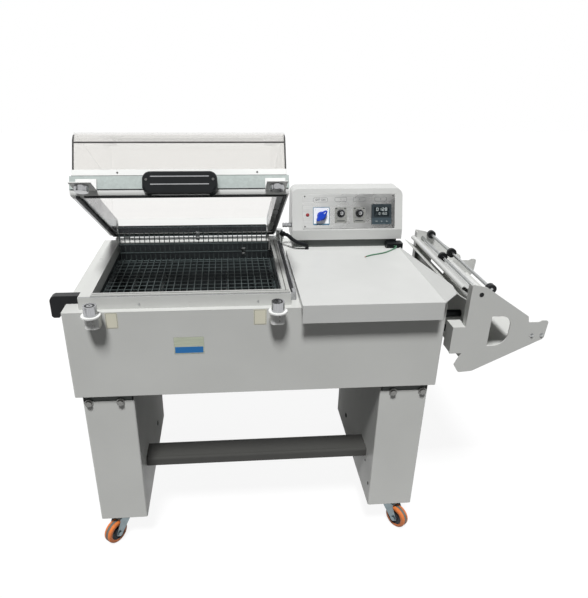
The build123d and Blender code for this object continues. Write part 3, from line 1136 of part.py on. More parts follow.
def make_unwinder():
    """Film unwinder: side plates, spacers, guide boards, and two film rods with wheels."""
    add("unwinder_front_plate", unwinder_plate(UNWINDER_FRONT, 1))
    add("unwinder_rear_plate", unwinder_plate(UNWINDER_BACK, -1))

    spacers = []
    for y in (UNWINDER_FRONT + SPACER_INSET, UNWINDER_BACK - SPACER_INSET):
        for z in (UPPER_SPACER_Z, LOWER_SPACER_Z):
            spacers.append(rod((CABINET_WIDTH, y, z), (TROUGH_WALL_X, y, z), SPACER_RADIUS))
    add("unwinder_mounts", *spacers)

    inside = (UNWINDER_FRONT + UNWINDER_SHEET, UNWINDER_BACK - UNWINDER_SHEET)
    fall = tan(radians(BOARD_SLOPE))
    lower = (LOWER_ROD_X, LOWER_ROD_Z)
    upper = (UPPER_ROD_X, UPPER_ROD_Z)
    wheel_y = (ROD_WHEEL_Y - ROD_WHEEL_WIDTH / 2, ROD_WHEEL_Y + ROD_WHEEL_WIDTH / 2)
    slot_y = (wheel_y[0] - ROD_WHEEL_SLOT, wheel_y[1] + ROD_WHEEL_SLOT)
    wheel_slot = round_bar(lower, slot_y, ROD_WHEEL_RADIUS + ROD_WHEEL_SLOT)
    gap = 2 * BOARD_FOLD
    leaf = [(BOARD_RETURN, -gap), (-gap, -gap), (-gap, 0), (BOARD_LENGTH, 0)]
    board = bent_sheet(leaf, BOARD_FOLD - SHEET_GAP, BOARD_SHEET)
    board = Pos(BOARD_LEFT, BOARD_TOP) * Rot(0, 0, -BOARD_SLOPE) * board
    add("upper_guide_board", along_y(board, *inside) - flange_slots(inside) - wheel_slot)

    trough = [
        (TROUGH_LIP_X, TROUGH_LIP_Z), (TROUGH_WALL_X, TROUGH_LIP_Z - (TROUGH_WALL_X - TROUGH_LIP_X) * fall),
        (TROUGH_WALL_X, TROUGH_FLOOR_Z), (TROUGH_END_X, trough_floor(TROUGH_END_X)),
    ]
    sheet = bent_sheet(trough, TROUGH_BEND, BOARD_SHEET)
    add("film_trough", along_y(sheet, *inside) - flange_slots(inside))

    journal_y = (UNWINDER_FRONT + 1, UNWINDER_BACK - 1)
    shoulder_y = (inside[0] + RUN_GAP, inside[1] - RUN_GAP)
    lower_rod = round_bar(lower, shoulder_y, ROD_RADIUS)
    lower_rod += round_bar(lower, journal_y, ROD_RADIUS - SHAFT_GAP)
    add("lower_film_rod", lower_rod + round_bar(lower, wheel_y, ROD_WHEEL_RADIUS))
    upper_rod = round_bar(upper, shoulder_y, ROD_RADIUS)
    add("upper_film_rod", upper_rod + round_bar(upper, wheel_y, ROD_WHEEL_RADIUS))
    bearings = []
    for y in ((inside[0], inside[0] + BEARING_WIDTH), (inside[1] - BEARING_WIDTH, inside[1])):
        bearings.append(round_bar(upper, y, BEARING_RADIUS) - round_bar(upper, y, ROD_RADIUS + SHAFT_GAP))
    add("rod_bearings", *bearings)


def round_bar(centre, y, radius):
    """Round bar along Y round a point in X and Z."""
    return rod((centre[0], y[0], centre[1]), (centre[0], y[1], centre[1]), radius)


def trough_floor(x):
    """Height of the trough's floor, which follows the lower edge of the side plates."""
    return TROUGH_FLOOR_Z + (x - TROUGH_WALL_X) * 0.46


def flange_slots(inside):
    """Space that the side plates' left flanges take out of a board's ends."""
    clear = (UNWINDER_FRONT + UNWINDER_FLANGE + SHEET_GAP, UNWINDER_BACK - UNWINDER_FLANGE - SHEET_GAP)
    x = (TROUGH_LIP_X - BOARD_FOLD, UNWINDER_LEFT + UNWINDER_SHEET + SHEET_GAP)
    z = (UNWINDER_ARM_TOP - UNWINDER_ARM_HEIGHT, UNWINDER_TOP + BOARD_FOLD)
    return [slab(x, (inside[0], clear[0]), z), slab(x, (clear[1], inside[1]), z)]


make_cabinet()
make_legs()
make_casters()
make_chamber()
make_heating()
make_tray()
make_rim()
make_magnets()
make_side_handle()
make_table()
make_hood()
make_hinge_carriers()
make_control_box()
make_cables()
make_unwinder()

# The origin is under the middle of the machine's box, on the floor
boxes = [shape.bounding_box() for name, shape in nodes.items() if name != "earth_lead"]
LOW = [min(getattr(box.min, axis) for box in boxes) for axis in "XYZ"]
HIGH = [max(getattr(box.max, axis) for box in boxes) for axis in "XYZ"]
SHIFT = (-(LOW[0] + HIGH[0]) / 2, -(LOW[1] + HIGH[1]) / 2, -LOW[2])

os.makedirs("parts", exist_ok=True)
for name, shape in nodes.items():
    export_step(Pos(*SHIFT) * shape, f"parts/{name}.step")
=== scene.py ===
"""Looks of a chamber L-bar sealer: finishes, trim and marks around its fixed CAD frame.

The file is laid out as an add-on. Each group of pieces has its own operator, the sizes and
colours that a user would change are properties of the scene, and main() runs the operators
in order. Lengths are in metres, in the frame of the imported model, except where a helper says
that it takes millimetres.
"""
import json
import math
from functools import cache

import bmesh
import bpy
from mathutils import Matrix, Vector


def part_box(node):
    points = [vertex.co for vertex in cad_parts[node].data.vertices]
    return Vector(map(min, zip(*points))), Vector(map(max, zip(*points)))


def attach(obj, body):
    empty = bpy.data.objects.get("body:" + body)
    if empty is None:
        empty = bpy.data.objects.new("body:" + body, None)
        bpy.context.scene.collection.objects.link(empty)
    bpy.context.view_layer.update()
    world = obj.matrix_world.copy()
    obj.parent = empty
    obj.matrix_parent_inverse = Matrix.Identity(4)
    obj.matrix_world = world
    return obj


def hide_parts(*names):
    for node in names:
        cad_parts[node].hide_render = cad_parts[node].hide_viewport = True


bl_info = {
    "name": "L-bar sealer looks",
    "version": (1, 0, 0),
    "blender": (4, 5, 0),
    "location": "3D View > Sidebar > Sealer",
    "description": "Finishes, trim and marks of a chamber L-bar sealer",
    "category": "Object",
}

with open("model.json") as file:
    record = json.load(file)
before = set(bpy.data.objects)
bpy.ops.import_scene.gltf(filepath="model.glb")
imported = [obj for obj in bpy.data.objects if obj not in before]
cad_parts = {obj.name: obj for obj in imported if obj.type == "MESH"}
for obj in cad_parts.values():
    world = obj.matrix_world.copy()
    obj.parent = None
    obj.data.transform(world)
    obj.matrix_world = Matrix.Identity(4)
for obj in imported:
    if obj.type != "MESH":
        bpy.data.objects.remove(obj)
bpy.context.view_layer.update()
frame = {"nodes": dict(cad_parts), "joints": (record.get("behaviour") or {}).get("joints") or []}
JOINTS = {joint["name"]: joint for joint in frame["joints"]}
RIGHT = Vector((1, 0, 0))
BACK = Vector((0, 1, 0))
UP = Vector((0, 0, 1))
CORNERS = ("front_left", "front_right", "rear_left", "rear_right")

# The cabinet's left side, front face and the floor, which the spots are measured from
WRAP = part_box("cabinet_wrap")
ORIGIN = Vector((WRAP[0].x, WRAP[0].y, 0))

# Edges that turn by more than this stay sharp in the shading, and are rounded where asked
SHARP = math.radians(40)

# Route of the earth lead, from its terminal to its bare end on the table
LEAD_ROUTE = [
    (0.34677, 0.1780, 0.8380), (0.34677, 0.1635, 0.8420), (0.34477, 0.1475, 0.8480),
    (0.33877, 0.1315, 0.8490), (0.32377, 0.1175, 0.8466), (0.29577, 0.0925, 0.8463),
    (0.26777, 0.0785, 0.8463), (0.24177, 0.0705, 0.8463), (0.21977, 0.0555, 0.8463),
]

# Places on the control panel, in millimetres along it and up its slope
SWITCH_SPOT = (63, 48)
DIAL_SPOTS = {"timer_left": (130, 55.5), "timer_right": (194, 55.5)}
CONTROLLER_SPOT = (270, 52)
KEY_STEPS = {"key_set": -18, "key_down": 0, "key_up": 18}
KEY_UP = 28

# How far the panel's layers stand out of the box, in millimetres
FACEPLATE_OUT = 1.5
PLATE_OUT = 3.0
SCREEN_OUT = 8.0
KEY_OUT = 10.7
KNOB_OUT = 21.3

# Lit bars of the seven-segment figures
SEGMENTS = {"0": "abcdef", "1": "bc", "2": "abged", "5": "afgcd", "8": "abcdefg"}


def linear(*screen):
    """Scene-linear values of an 8-bit screen colour."""
    shares = [value / 255 for value in screen]
    return tuple(s / 12.92 if s <= 0.04045 else ((s + 0.055) / 1.055) ** 2.4 for s in shares)


def colour(label, use, *screen):
    """Colour property whose default is an 8-bit screen colour."""
    return bpy.props.FloatVectorProperty(
        name=label, description=use, subtype="COLOR", size=3, min=0, max=1, default=linear(*screen)
    )


def size(label, use, metres):
    """Length property in metres."""
    return bpy.props.FloatProperty(
        name=label, description=use, subtype="DISTANCE", unit="LENGTH", min=0, default=metres
    )


def angle(label, use, degrees):
    """Angle property whose default is given in degrees."""
    return bpy.props.FloatProperty(
        name=label, description=use, subtype="ANGLE", unit="ROTATION", default=math.radians(degrees)
    )


def level(label, use, value):
    """Plain number property for a light."""
    return bpy.props.FloatProperty(name=label, description=use, min=0, default=value)


class SealerColours(bpy.types.PropertyGroup):
    """Colours of the painted, plated and moulded finishes."""

    body: colour("Body paint", "Powder coat of the cabinet, legs and unwinder", 200, 201, 198)
    white: colour("White paint", "Paint of the deck and rails", 198, 199, 196)
    table: colour("Table paint", "Powder coat of the table and control box", 197, 198, 196)
    strip: colour("Strip paint", "White paint of the hood's strips and the brackets", 230, 231, 229)
    wire: colour("Wire coating", "Dark coating of the wire tray", 66, 74, 74)
    # Painted shade: this dark grey stands for the shadowed gap under the control box and the shadow line
    # between the cabinet and the legs
    plinth: colour("Plinth paint", "Dark paint of the plinth and floor pan", 96, 100, 98)
    # Painted shade: this dark grey stands for the shade that the cabinet casts on the tie beam
    beam: colour("Beam paint", "Dark paint of the tie beam", 66, 66, 64)
    zinc: colour("Zinc plate", "Plated steel of bolts and rods", 188, 190, 190)
    bolt: colour("Bolt steel", "Darker steel of the bolts and screws", 132, 132, 130)
    fork: colour("Fork plate", "Bluish plate of the caster forks", 134, 146, 150)
    galvanised: colour("Galvanised sheet", "Dull sheet of the hood's front bar", 190, 199, 196)
    # Also used as painted shade on the rear rail's liner
    tub: colour("Tub steel", "Heat-dulled steel inside the chamber", 70, 74, 76)
    # Silicone of the gaskets, also used for strips of painted shade along the hood's clamp, lip and back
    # bar
    chrome: colour("Polished steel", "Pot magnets and polished bars", 176, 177, 179)
    faceplate: colour("Faceplate", "Brushed sheet of the control panel", 232, 233, 231)
    plastic: colour("Black plastic", "Moulded handles and knobs", 17, 19, 21)
    slate: colour("Controller case", "Moulded case of the temperature controller", 46, 54, 58)
    keypad: colour("Key band", "Paler band of the controller's keys", 62, 74, 80)
    clear: colour("Clear cover", "Acrylic of the hood", 242, 241, 239)
    silicone: colour("Silicone", "Gaskets of the hood", 40, 41, 43)
    tape: colour("Seal tape", "Woven tape over the seal bar", 178, 179, 176)
    seal_wire: colour("Seal wire", "Flat wire that cuts and seals the film", 74, 72, 70)
    tyre: colour("Tyre", "Polyurethane tread of the casters", 202, 112, 56)
    scuff: colour("Tyre scuffs", "Rubbed places of the tread", 150, 104, 72)
    tread_band: colour("Tread band", "Grey band in the middle of the tread", 104, 100, 94)
    core: colour("Wheel core", "Moulded core of the casters", 50, 52, 55)
    iron: colour("Laminated iron", "Motor and transformer", 60, 60, 63)
    lens: colour("Lamp lens", "Red indicator", 146, 14, 26)
    plate: colour("Switch plate", "Printed plate under the main switch", 232, 234, 236)
    rim: colour("Switch plate rim", "Printed rim of the switch plate", 70, 112, 138)
    dial: colour("Dial plate", "Printed plates under the timers", 186, 187, 182)
    switch: colour("Switch lever", "Blue main switch", 24, 62, 178)
    # Painted refraction: a dark line that stands for the light bent where the clear cover turns over
    bend: colour("Cover bend", "Dark line where the cover bends", 70, 68, 68)
    lead: colour("Earth lead", "Sleeve of the earth lead", 74, 118, 92)
    copper: colour("Copper", "Bare strands of the lead", 190, 120, 76)
    label: colour("Blank label", "Plain stickers beside the magnets", 218, 215, 197)
    badge: colour("Blank badge", "Plain plate on the front", 168, 173, 156)
    badge_foot: colour("Badge foot", "Lower half of the plain plate", 40, 112, 176)
    print: colour("Print", "Marks and numbers", 58, 62, 66)
    screen: colour("Screen", "Dark window of the controller", 30, 37, 40)
    digit: colour("Digits", "Number segments", 190, 198, 198)


class SealerSizes(bpy.types.PropertyGroup):
    """Sizes of the trim that the operators add."""

    edge: size("Edge round", "Rounding of the sheet edges", 0.0008)
    screw: size("Screw head", "Radius of the cover screws", 0.0042)
    small_screw: size("Small screw head", "Radius of the panel screws", 0.0026)
    lead: size("Lead diameter", "Outside of the earth lead", 0.004)
    print: size("Print height", "Thickness of printed marks", 0.00015)


class SealerView(bpy.types.PropertyGroup):
    """The camera's place and lens."""

    place: bpy.props.FloatVectorProperty(
        name="Place", description="Where the camera stands", subtype="TRANSLATION", unit="LENGTH",
        default=(-0.22053, -1.6142, 1.4573),
    )
    turn: angle("Turn", "Turn to the right of straight ahead", 5.09)
    dip: angle("Dip", "Angle below the horizon", 25.25)
    roll: angle("Roll", "Roll of the frame", 0.76)
    lens: bpy.props.FloatProperty(
        name="Lens", description="Focal length in mm", unit="CAMERA", default=33.68
    )
    shift: bpy.props.FloatVectorProperty(
        name="Shift", description="Shift of the frame", size=2, default=(0.0314, 0.0169)
    )


class SealerLight(bpy.types.PropertyGroup):
    """Levels of the studio light."""

    key: level("Key", "Strength of the soft light above and in front", 4.1)
    softness: angle("Key softness", "How wide the key light looks from the machine", 12)
    fill: level("Fill", "Power of the front soft box, in watts", 3)
    sides: level("Sides", "Power of the soft boxes at the left and right, in watts", 26)
    back: level("Back", "Power of the soft box behind, in watts", 42)
    around: level("Around", "Level of the light from all round", 0.08)
    floor: colour("Floor", "Colour of the floor", 80, 80, 80)
    glow: level("Floor white", "White that the floor adds where it is seen", 0.9)
    flag: colour("Flags", "Dark cards that only polished surfaces show", 40, 40, 42)


def colours():
    """The scene's colour properties."""
    return bpy.context.scene.sealer_colours


def sizes():
    """The scene's size properties."""
    return bpy.context.scene.sealer_sizes


def print_rise():
    """Height of the printed marks, in millimetres."""
    return sizes().print * 1000


def seen_rays(tree):
    """One where a ray comes from the camera, gloss or a clear piece."""
    path = tree.nodes.new("ShaderNodeLightPath")
    seen = path.outputs["Is Camera Ray"]
    for ray in ("Is Glossy Ray", "Is Transmission Ray"):
        either = tree.nodes.new("ShaderNodeMath")
        either.operation = "MAXIMUM"
        tree.links.new(seen, either.inputs[0])
        tree.links.new(path.outputs[ray], either.inputs[1])
        seen = either.outputs["Value"]
    return seen


class Finish:
    """One procedural material: a principled shader and the textures that drive it."""

    def __init__(self, name, tint, roughness, metallic=0.0):
        self.material = bpy.data.materials.new(name)
        self.material.use_nodes = True
        self.tree = self.material.node_tree
        self.shader = self.tree.nodes["Principled BSDF"]
        self.tint = tuple(tint)
        self.set("Base Color", (*tint, 1))
        self.set("Roughness", roughness)
        self.set("Metallic", metallic)

    def set(self, socket, value):
        """Set one of the shader's own values."""
        self.shader.inputs[socket].default_value = value

    def drive(self, socket, source):
        """Let a texture drive one of the shader's values."""
        self.tree.links.new(source, self.shader.inputs[socket])

    def node(self, kind, **settings):
        """Add a node of the tree."""
        made = self.tree.nodes.new("ShaderNode" + kind)
        for setting, value in settings.items():
            setattr(made, setting, value)
        return made

    def coordinates(self, stretch=(1, 1, 1)):
        """Object coordinates in metres, stretched along the axes."""
        place = self.node("TexCoord")
        mapping = self.node("Mapping")
        mapping.inputs["Scale"].default_value = stretch
        self.tree.links.new(place.outputs["Object"], mapping.inputs["Vector"])
        return mapping.outputs["Vector"]

    def along(self, axis):
        """Place along one axis of the object, in metres."""
        split = self.node("SeparateXYZ")
        self.tree.links.new(self.coordinates(), split.inputs["Vector"])
        return split.outputs[axis]

    def noise(self, scale, stretch=(1, 1, 1), detail=3):
        """Soft random texture."""
        made = self.node("TexNoise")
        made.inputs["Scale"].default_value = scale
        made.inputs["Detail"].default_value = detail
        self.tree.links.new(self.coordinates(stretch), made.inputs["Vector"])
        return made.outputs["Fac"]

    def cells(self, scale):
        """Random value for each cell of a crystal-like pattern."""
        made = self.node("TexVoronoi")
        made.inputs["Scale"].default_value = scale
        self.tree.links.new(self.coordinates(), made.inputs["Vector"])
        split = self.node("SeparateColor")
        self.tree.links.new(made.outputs["Color"], split.inputs["Color"])
        return split.outputs["Red"]

    def weave(self, scale):
        """Over-and-under pattern of a woven cloth."""
        made = self.node("TexChecker")
        made.inputs["Scale"].default_value = scale
        self.tree.links.new(self.coordinates(), made.inputs["Vector"])
        return made.outputs["Fac"]

    def spread(self, source, low, high, start=0.3, end=0.7):
        """Map the middle range of a texture to a range of values."""
        made = self.node("MapRange")
        numbers = {"From Min": start, "From Max": end, "To Min": low, "To Max": high}
        for socket, number in numbers.items():
            made.inputs[socket].default_value = number
        self.tree.links.new(source, made.inputs["Value"])
        return made.outputs["Result"]

    def product(self, first, second):
        """Two masks multiplied."""
        made = self.node("Math", operation="MULTIPLY")
        self.tree.links.new(first, made.inputs[0])
        self.tree.links.new(second, made.inputs[1])
        return made.outputs["Value"]

    def blend(self, factor, first, second):
        """Colour between two colours or sources."""
        made = self.node("Mix", data_type="RGBA")
        self.tree.links.new(factor, made.inputs[0])
        for socket, value in ((made.inputs[6], first), (made.inputs[7], second)):
            if isinstance(value, bpy.types.NodeSocket):
                self.tree.links.new(value, socket)
            else:
                socket.default_value = (*value, 1)
        return made.outputs[2]

    def shade(self, share):
        """The finish's own colour, made lighter or darker."""
        return tuple(min(1.0, value * share) for value in self.tint)

    def mottle(self, mask, dark, light):
        """Let a mask vary the colour between a darker and a lighter shade."""
        self.drive("Base Color", self.blend(mask, self.shade(dark), self.shade(light)))

    def dull(self, scale, low, high):
        """Let a soft texture vary the roughness."""
        self.drive("Roughness", self.spread(self.noise(scale), low, high))

    def edges(self, radius):
        """Mask of the sharp edges, from the angle between rounded and true normals."""
        rounded = self.node("Bevel", samples=4)
        rounded.inputs["Radius"].default_value = radius
        true = self.node("NewGeometry")
        dot = self.node("VectorMath", operation="DOT_PRODUCT")
        self.tree.links.new(rounded.outputs["Normal"], dot.inputs[0])
        self.tree.links.new(true.outputs["Normal"], dot.inputs[1])
        return self.spread(dot.outputs["Value"], 1, 0, 0.8, 0.99)

    def bump(self, height, depth):
        """Raise the surface by a texture, up to a depth in metres, and soften its edges."""
        made = self.node("Bump")
        made.inputs["Distance"].default_value = depth
        self.tree.links.new(height, made.inputs["Height"])
        soft = self.node("Bevel", samples=4)
        soft.inputs["Radius"].default_value = sizes().edge
        self.tree.links.new(soft.outputs["Normal"], made.inputs["Normal"])
        self.tree.links.new(made.outputs["Normal"], self.shader.inputs["Normal"])


def powder_coat(name, tint, roughness):
    """Paint with a fine orange peel, faint clouds and dulled edges."""
    finish = Finish(name, tint, roughness)
    finish.set("Specular IOR Level", 0.3)
    clouds = finish.blend(finish.spread(finish.noise(4), 0, 1), finish.shade(0.95), finish.shade(1.03))
    worn = finish.product(finish.edges(0.0016), finish.spread(finish.noise(55), 0, 0.5))
    finish.drive("Base Color", finish.blend(worn, clouds, finish.shade(0.72)))
    finish.dull(12, roughness - 0.07, roughness + 0.07)
    finish.bump(finish.noise(900), 0.00005)
    return finish.material


def rolled_metal(name, tint, roughness, stretch, grain):
    """Metal with fine streaks, which a stretch draws out along one axis."""
    finish = Finish(name, tint, roughness, metallic=1.0)
    streaks = finish.noise(grain, stretch)
    finish.mottle(finish.spread(streaks, 0, 1), 0.86, 1.06)
    finish.dull(9, roughness - 0.08, roughness + 0.1)
    finish.bump(streaks, 0.00003)
    return finish.material


def moulding(name, tint, roughness, gloss=0.3, band=None):
    """Moulded plastic or rubber with a fine grain, rubbed edges and perhaps a paler band."""
    finish = Finish(name, tint, roughness)
    finish.set("Specular IOR Level", gloss)
    clouds = finish.blend(finish.spread(finish.noise(16), 0, 1), finish.shade(0.85), finish.shade(1.15))
    if band:
        height, paler = band
        below = finish.spread(finish.along("Z"), 1, 0, height, height + 0.0006)
        clouds = finish.blend(below, clouds, paler)
    rubbed = finish.product(finish.edges(0.0012), finish.spread(finish.noise(70), 0.05, 0.5))
    lighter = tuple(value * 1.4 + 0.01 for value in finish.tint)
    finish.drive("Base Color", finish.blend(rubbed, clouds, lighter))
    finish.dull(30, roughness - 0.06, roughness + 0.1)
    finish.bump(finish.noise(1500), 0.00004)
    return finish.material


def printed(name, tint):
    """Printing ink, a little uneven."""
    finish = Finish(name, tint, 0.5)
    finish.mottle(finish.spread(finish.noise(500), 0, 1), 0.85, 1.1)
    return finish.material


def galvanised_sheet(name):
    """Galvanised sheet with fine pale crystals."""
    finish = Finish(name, colours().galvanised, 0.36, metallic=0.7)
    finish.mottle(finish.spread(finish.cells(150), 0, 1, 0, 1), 0.95, 1.05)
    finish.drive("Roughness", finish.spread(finish.cells(110), 0.34, 0.46, 0, 1))
    finish.bump(finish.noise(420, (0.1, 1, 1)), 0.00002)
    return finish.material


def tub_steel(name):
    """Steel that heat has dulled, also used as painted shade on the rear rail."""
    finish = Finish(name, colours().tub, 0.5, metallic=0.6)
    finish.mottle(finish.spread(finish.noise(7), 0, 1), 0.7, 1.1)
    finish.dull(20, 0.45, 0.68)
    finish.bump(finish.noise(300, (1, 0.05, 1)), 0.00003)
    return finish.material


def seal_tape(name):
    """Pale woven tape."""
    finish = Finish(name, colours().tape, 0.5)
    cloth = finish.weave(900)
    finish.mottle(cloth, 0.9, 1.04)
    finish.dull(40, 0.42, 0.6)
    finish.bump(cloth, 0.00008)
    return finish.material


def tyre_tread(name):
    """Orange polyurethane, scuffed where it rolls."""
    finish = Finish(name, colours().tyre, 0.42)
    scuffs = finish.spread(finish.noise(120), 0, 0.6, 0.5, 0.75)
    finish.drive("Base Color", finish.blend(scuffs, finish.tint, tuple(colours().scuff)))
    finish.dull(60, 0.34, 0.55)
    finish.bump(finish.noise(600), 0.00006)
    return finish.material


def lamp_lens(name):
    """Faceted red lens."""
    finish = Finish(name, colours().lens, 0.12)
    finish.set("Coat Weight", 0.5)
    finish.mottle(finish.spread(finish.noise(200), 0, 1), 0.7, 1.2)
    finish.bump(finish.noise(400), 0.0001)
    return finish.material


def clear_acrylic(name):
    """Clear acrylic with a faint grey tint and haze."""
    finish = Finish(name, colours().clear, 0.03)
    finish.set("Transmission Weight", 1.0)
    finish.set("IOR", 1.49)
    finish.dull(18, 0.0, 0.05)
    return finish.material


def controller_case(name):
    """Slate-grey moulding of the controller, paler around its keys."""
    band_top = panel(CONTROLLER_SPOT[0], CONTROLLER_SPOT[1] - 10).translation.z
    return moulding(name, colours().slate, 0.4, band=(band_top, tuple(colours().keypad)))


# Painted finishes: colour and roughness
PAINTS = {
    "body_paint": ("body", 0.42),
    "white_paint": ("white", 0.34),
    "table_paint": ("table", 0.4),
    # Painted shade of the plinth and floor pan
    "plinth_paint": ("plinth", 0.5),
    "strip_paint": ("strip", 0.4),
    # Painted shade of the tie beam
    "beam_paint": ("beam", 0.45),
    "switch_plate_print": ("plate", 0.3),
    "label_film": ("label", 0.4),
    "badge_foot": ("badge_foot", 0.35),
}

# Metals: colour, roughness, stretch of the streaks along each axis and how fine they are
EVEN = (1, 1, 1)
METALS = {
    "zinc_plate": ("zinc", 0.3, EVEN, 120),
    "bolt_steel": ("bolt", 0.32, EVEN, 200),
    "fork_plate": ("fork", 0.34, EVEN, 90),
    "seal_wire": ("seal_wire", 0.4, EVEN, 300),
    "bare_copper": ("copper", 0.35, EVEN, 900),
    "drawn_aluminium": ("chrome", 0.26, (1, 0.02, 1), 260),
    "polished_steel": ("chrome", 0.14, (1, 1, 0.05), 500),
    "brushed_faceplate": ("faceplate", 0.25, (0.02, 1, 1), 700),
    "dial_plate": ("dial", 0.46, (0.05, 1, 1), 600),
    "badge_plate": ("badge", 0.4, (0.05, 1, 1), 500),
    "laminated_iron": ("iron", 0.5, (1, 40, 1), 60),
}

# Plastics and rubbers: colour, roughness and gloss
MOULDINGS = {
    "black_plastic": ("plastic", 0.34, 0.25),
    "switch_plastic": ("switch", 0.3, 0.4),
    "key_plastic": ("keypad", 0.45, 0.3),
    "screen_window": ("screen", 0.2, 0.35),
    "wire_coating": ("wire", 0.36, 0.3),
    # Real gaskets, and strips of painted shade on the hood
    "silicone": ("silicone", 0.6, 0.3),
    # Painted refraction line at the clear cover's bend
    "cover_bend": ("bend", 0.4, 0.3),
    "lead_sleeve": ("lead", 0.45, 0.3),
    "tread_band": ("tread_band", 0.55, 0.3),
    "wheel_core": ("core", 0.45, 0.3),
}

# Printing inks: colour
INKS = {"ink": ("print",), "rim_ink": ("rim",), "digit_glow": ("digit",)}

# Finishes that are one of a kind
SPECIAL = {
    make.__name__: make
    for make in (
        galvanised_sheet, tub_steel, seal_tape, tyre_tread, lamp_lens, clear_acrylic, controller_case,
    )
}


@cache
def finish_of(name):
    """Material of a finish, made when it is first asked for."""
    kinds = ((powder_coat, PAINTS), (rolled_metal, METALS), (moulding, MOULDINGS), (printed, INKS))
    for make, table in kinds:
        if name in table:
            tint, *settings = table[name]
            return make(name, getattr(colours(), tint), *settings)
    return SPECIAL[name](name)


def spot(x, y, z):
    """Point given in millimetres from the cabinet's left side, its front and the floor."""
    return ORIGIN + Vector((x, y, z)) / 1000


def facing(origin, normal, across=RIGHT):
    """Place at a point, with its Z along a normal and its X as near a direction as it goes."""
    out = normal.normalized()
    side = (across - out * across.dot(out)).normalized()
    turn = Matrix((side, out.cross(side), out)).transposed().to_4x4()
    return Matrix.Translation(origin) @ turn


def panel(x, up, out=0.0):
    """Place on the control panel, in millimetres along it, up its slope and out of it."""
    switch = JOINTS["main_switch_turn"]
    base = facing(Vector(switch["pos_m"]), Vector(switch["axis"]))
    return base @ Matrix.Translation(Vector((x - SWITCH_SPOT[0], up - SWITCH_SPOT[1], out)) / 1000)


def hood_swing():
    """Turn that takes the hood from closed to the open rest pose."""
    hinge = JOINTS["hood_hinge"]
    pivot = Matrix.Translation(hinge["pos_m"])
    opening = -math.radians(hinge["range_deg"][1])
    return pivot @ Matrix.Rotation(opening, 4, Vector(hinge["axis"])) @ pivot.inverted()


def circle(radius, count=32):
    """Points round a circle."""
    turns = [2 * math.pi * step / count for step in range(count)]
    return [(radius * math.cos(turn), radius * math.sin(turn)) for turn in turns]


def rounded(width, height, corner, steps=5):
    """Points round a rectangle with round corners."""
    points = []
    for quarter, (x, y) in enumerate(((1, 1), (-1, 1), (-1, -1), (1, -1))):
        for step in range(steps + 1):
            turn = math.pi / 2 * (quarter + step / steps)
            centre = (x * (width / 2 - corner), y * (height / 2 - corner))
            points.append((centre[0] + corner * math.cos(turn), centre[1] + corner * math.sin(turn)))
    return points


def skin(bm, place, loops, ring=False):
    """Join loops of points, each at a height, and close the ends or join the last to the first."""
    rows = []
    for points, height in loops:
        rows.append([bm.verts.new(place @ Vector((*point, height))) for point in points])
    pairs = list(zip(rows, rows[1:]))
    if ring:
        pairs.append((rows[-1], rows[0]))
    else:
        bm.faces.new(rows[0][::-1])
        bm.faces.new(rows[-1])
    for low, high in pairs:
        for step, point in enumerate(low):
            after = (step + 1) % len(low)
            bm.faces.new((point, low[after], high[after], high[step]))


def mirrored(half):
    """Profile that goes on from its last point to its own mirror image."""
    return (*half, *((radius, -out) for radius, out in reversed(half)))


def lathe(bm, place, profile, ring=False, count=32):
    """Turn a profile of radii and heights, in millimetres, about a place's Z."""
    skin(bm, place, [(circle(radius / 1000, count), height / 1000) for radius, height in profile], ring)


def outlines(width, height, corner, inset):
    """Outline of a rectangle with round corners and a second one inside it, from millimetres."""
    outer = rounded(width / 1000, height / 1000, corner / 1000)
    tighter = max(corner - inset, 0.05)
    inner = rounded((width - 2 * inset) / 1000, (height - 2 * inset) / 1000, tighter / 1000)
    return outer, inner


def pad(bm, place, width, height, corner, thick):
    """Plate with round corners and an eased top edge, in millimetres."""
    ease = min(thick / 2, 0.4)
    outer, inner = outlines(width, height, corner, ease)
    skin(bm, place, [(outer, 0), (outer, (thick - ease) / 1000), (inner, thick / 1000)])


def border(bm, place, width, height, corner, line, thick):
    """Raised outline of a rectangle with round corners, in millimetres."""
    outer, inner = outlines(width, height, corner, line)
    rise = thick / 1000
    skin(bm, place, [(outer, 0), (outer, rise), (inner, rise), (inner, 0)], ring=True)


def screw_head(bm, place, radius):
    """Pan head with a sunk cross."""
    arm, half = radius * 0.6, radius * 0.13
    middle = (arm + half) / 2
    quarter = [(arm, 0), (arm, half), (middle, half), (half, half), (half, middle), (half, arm)]
    cross = []
    for turn in range(4):
        for x, y in quarter:
            for _ in range(turn):
                x, y = -y, x
            cross.append((x, y))
    dome = ((1, 0), (1, 0.25), (0.9, 0.48), (0.72, 0.56))
    loops = [(circle(radius * share, len(cross)), radius * rise) for share, rise in dome]
    skin(bm, place, [*loops, (cross, radius * 0.58), (cross, radius * 0.25)])


def hex_head(bm, place, radius):
    """Hexagon head with a chamfered top on a round washer."""
    lathe(bm, place, [(radius * 1450, 0), (radius * 1450, 0.8), (radius * 1380, 1.1)])
    side = circle(radius, 6)
    skin(bm, place, [(side, 0.001), (side, radius * 0.75), (circle(radius * 0.88, 6), radius * 0.9)])


def lettering(bm, text, place, height):
    """Thin raised figures, centred on a place."""
    curve = bpy.data.curves.new("figures", "FONT")
    curve.body = text
    curve.size = height / 1000
    curve.align_x = "CENTER"
    curve.align_y = "CENTER"
    curve.extrude = sizes().print
    curve.resolution_u = 3
    holder = bpy.data.objects.new("figures", curve)
    mesh = bpy.data.meshes.new_from_object(holder)
    mesh.transform(place)
    bm.from_mesh(mesh)
    bpy.data.objects.remove(holder)
    bpy.data.meshes.remove(mesh)
    bpy.data.curves.remove(curve)


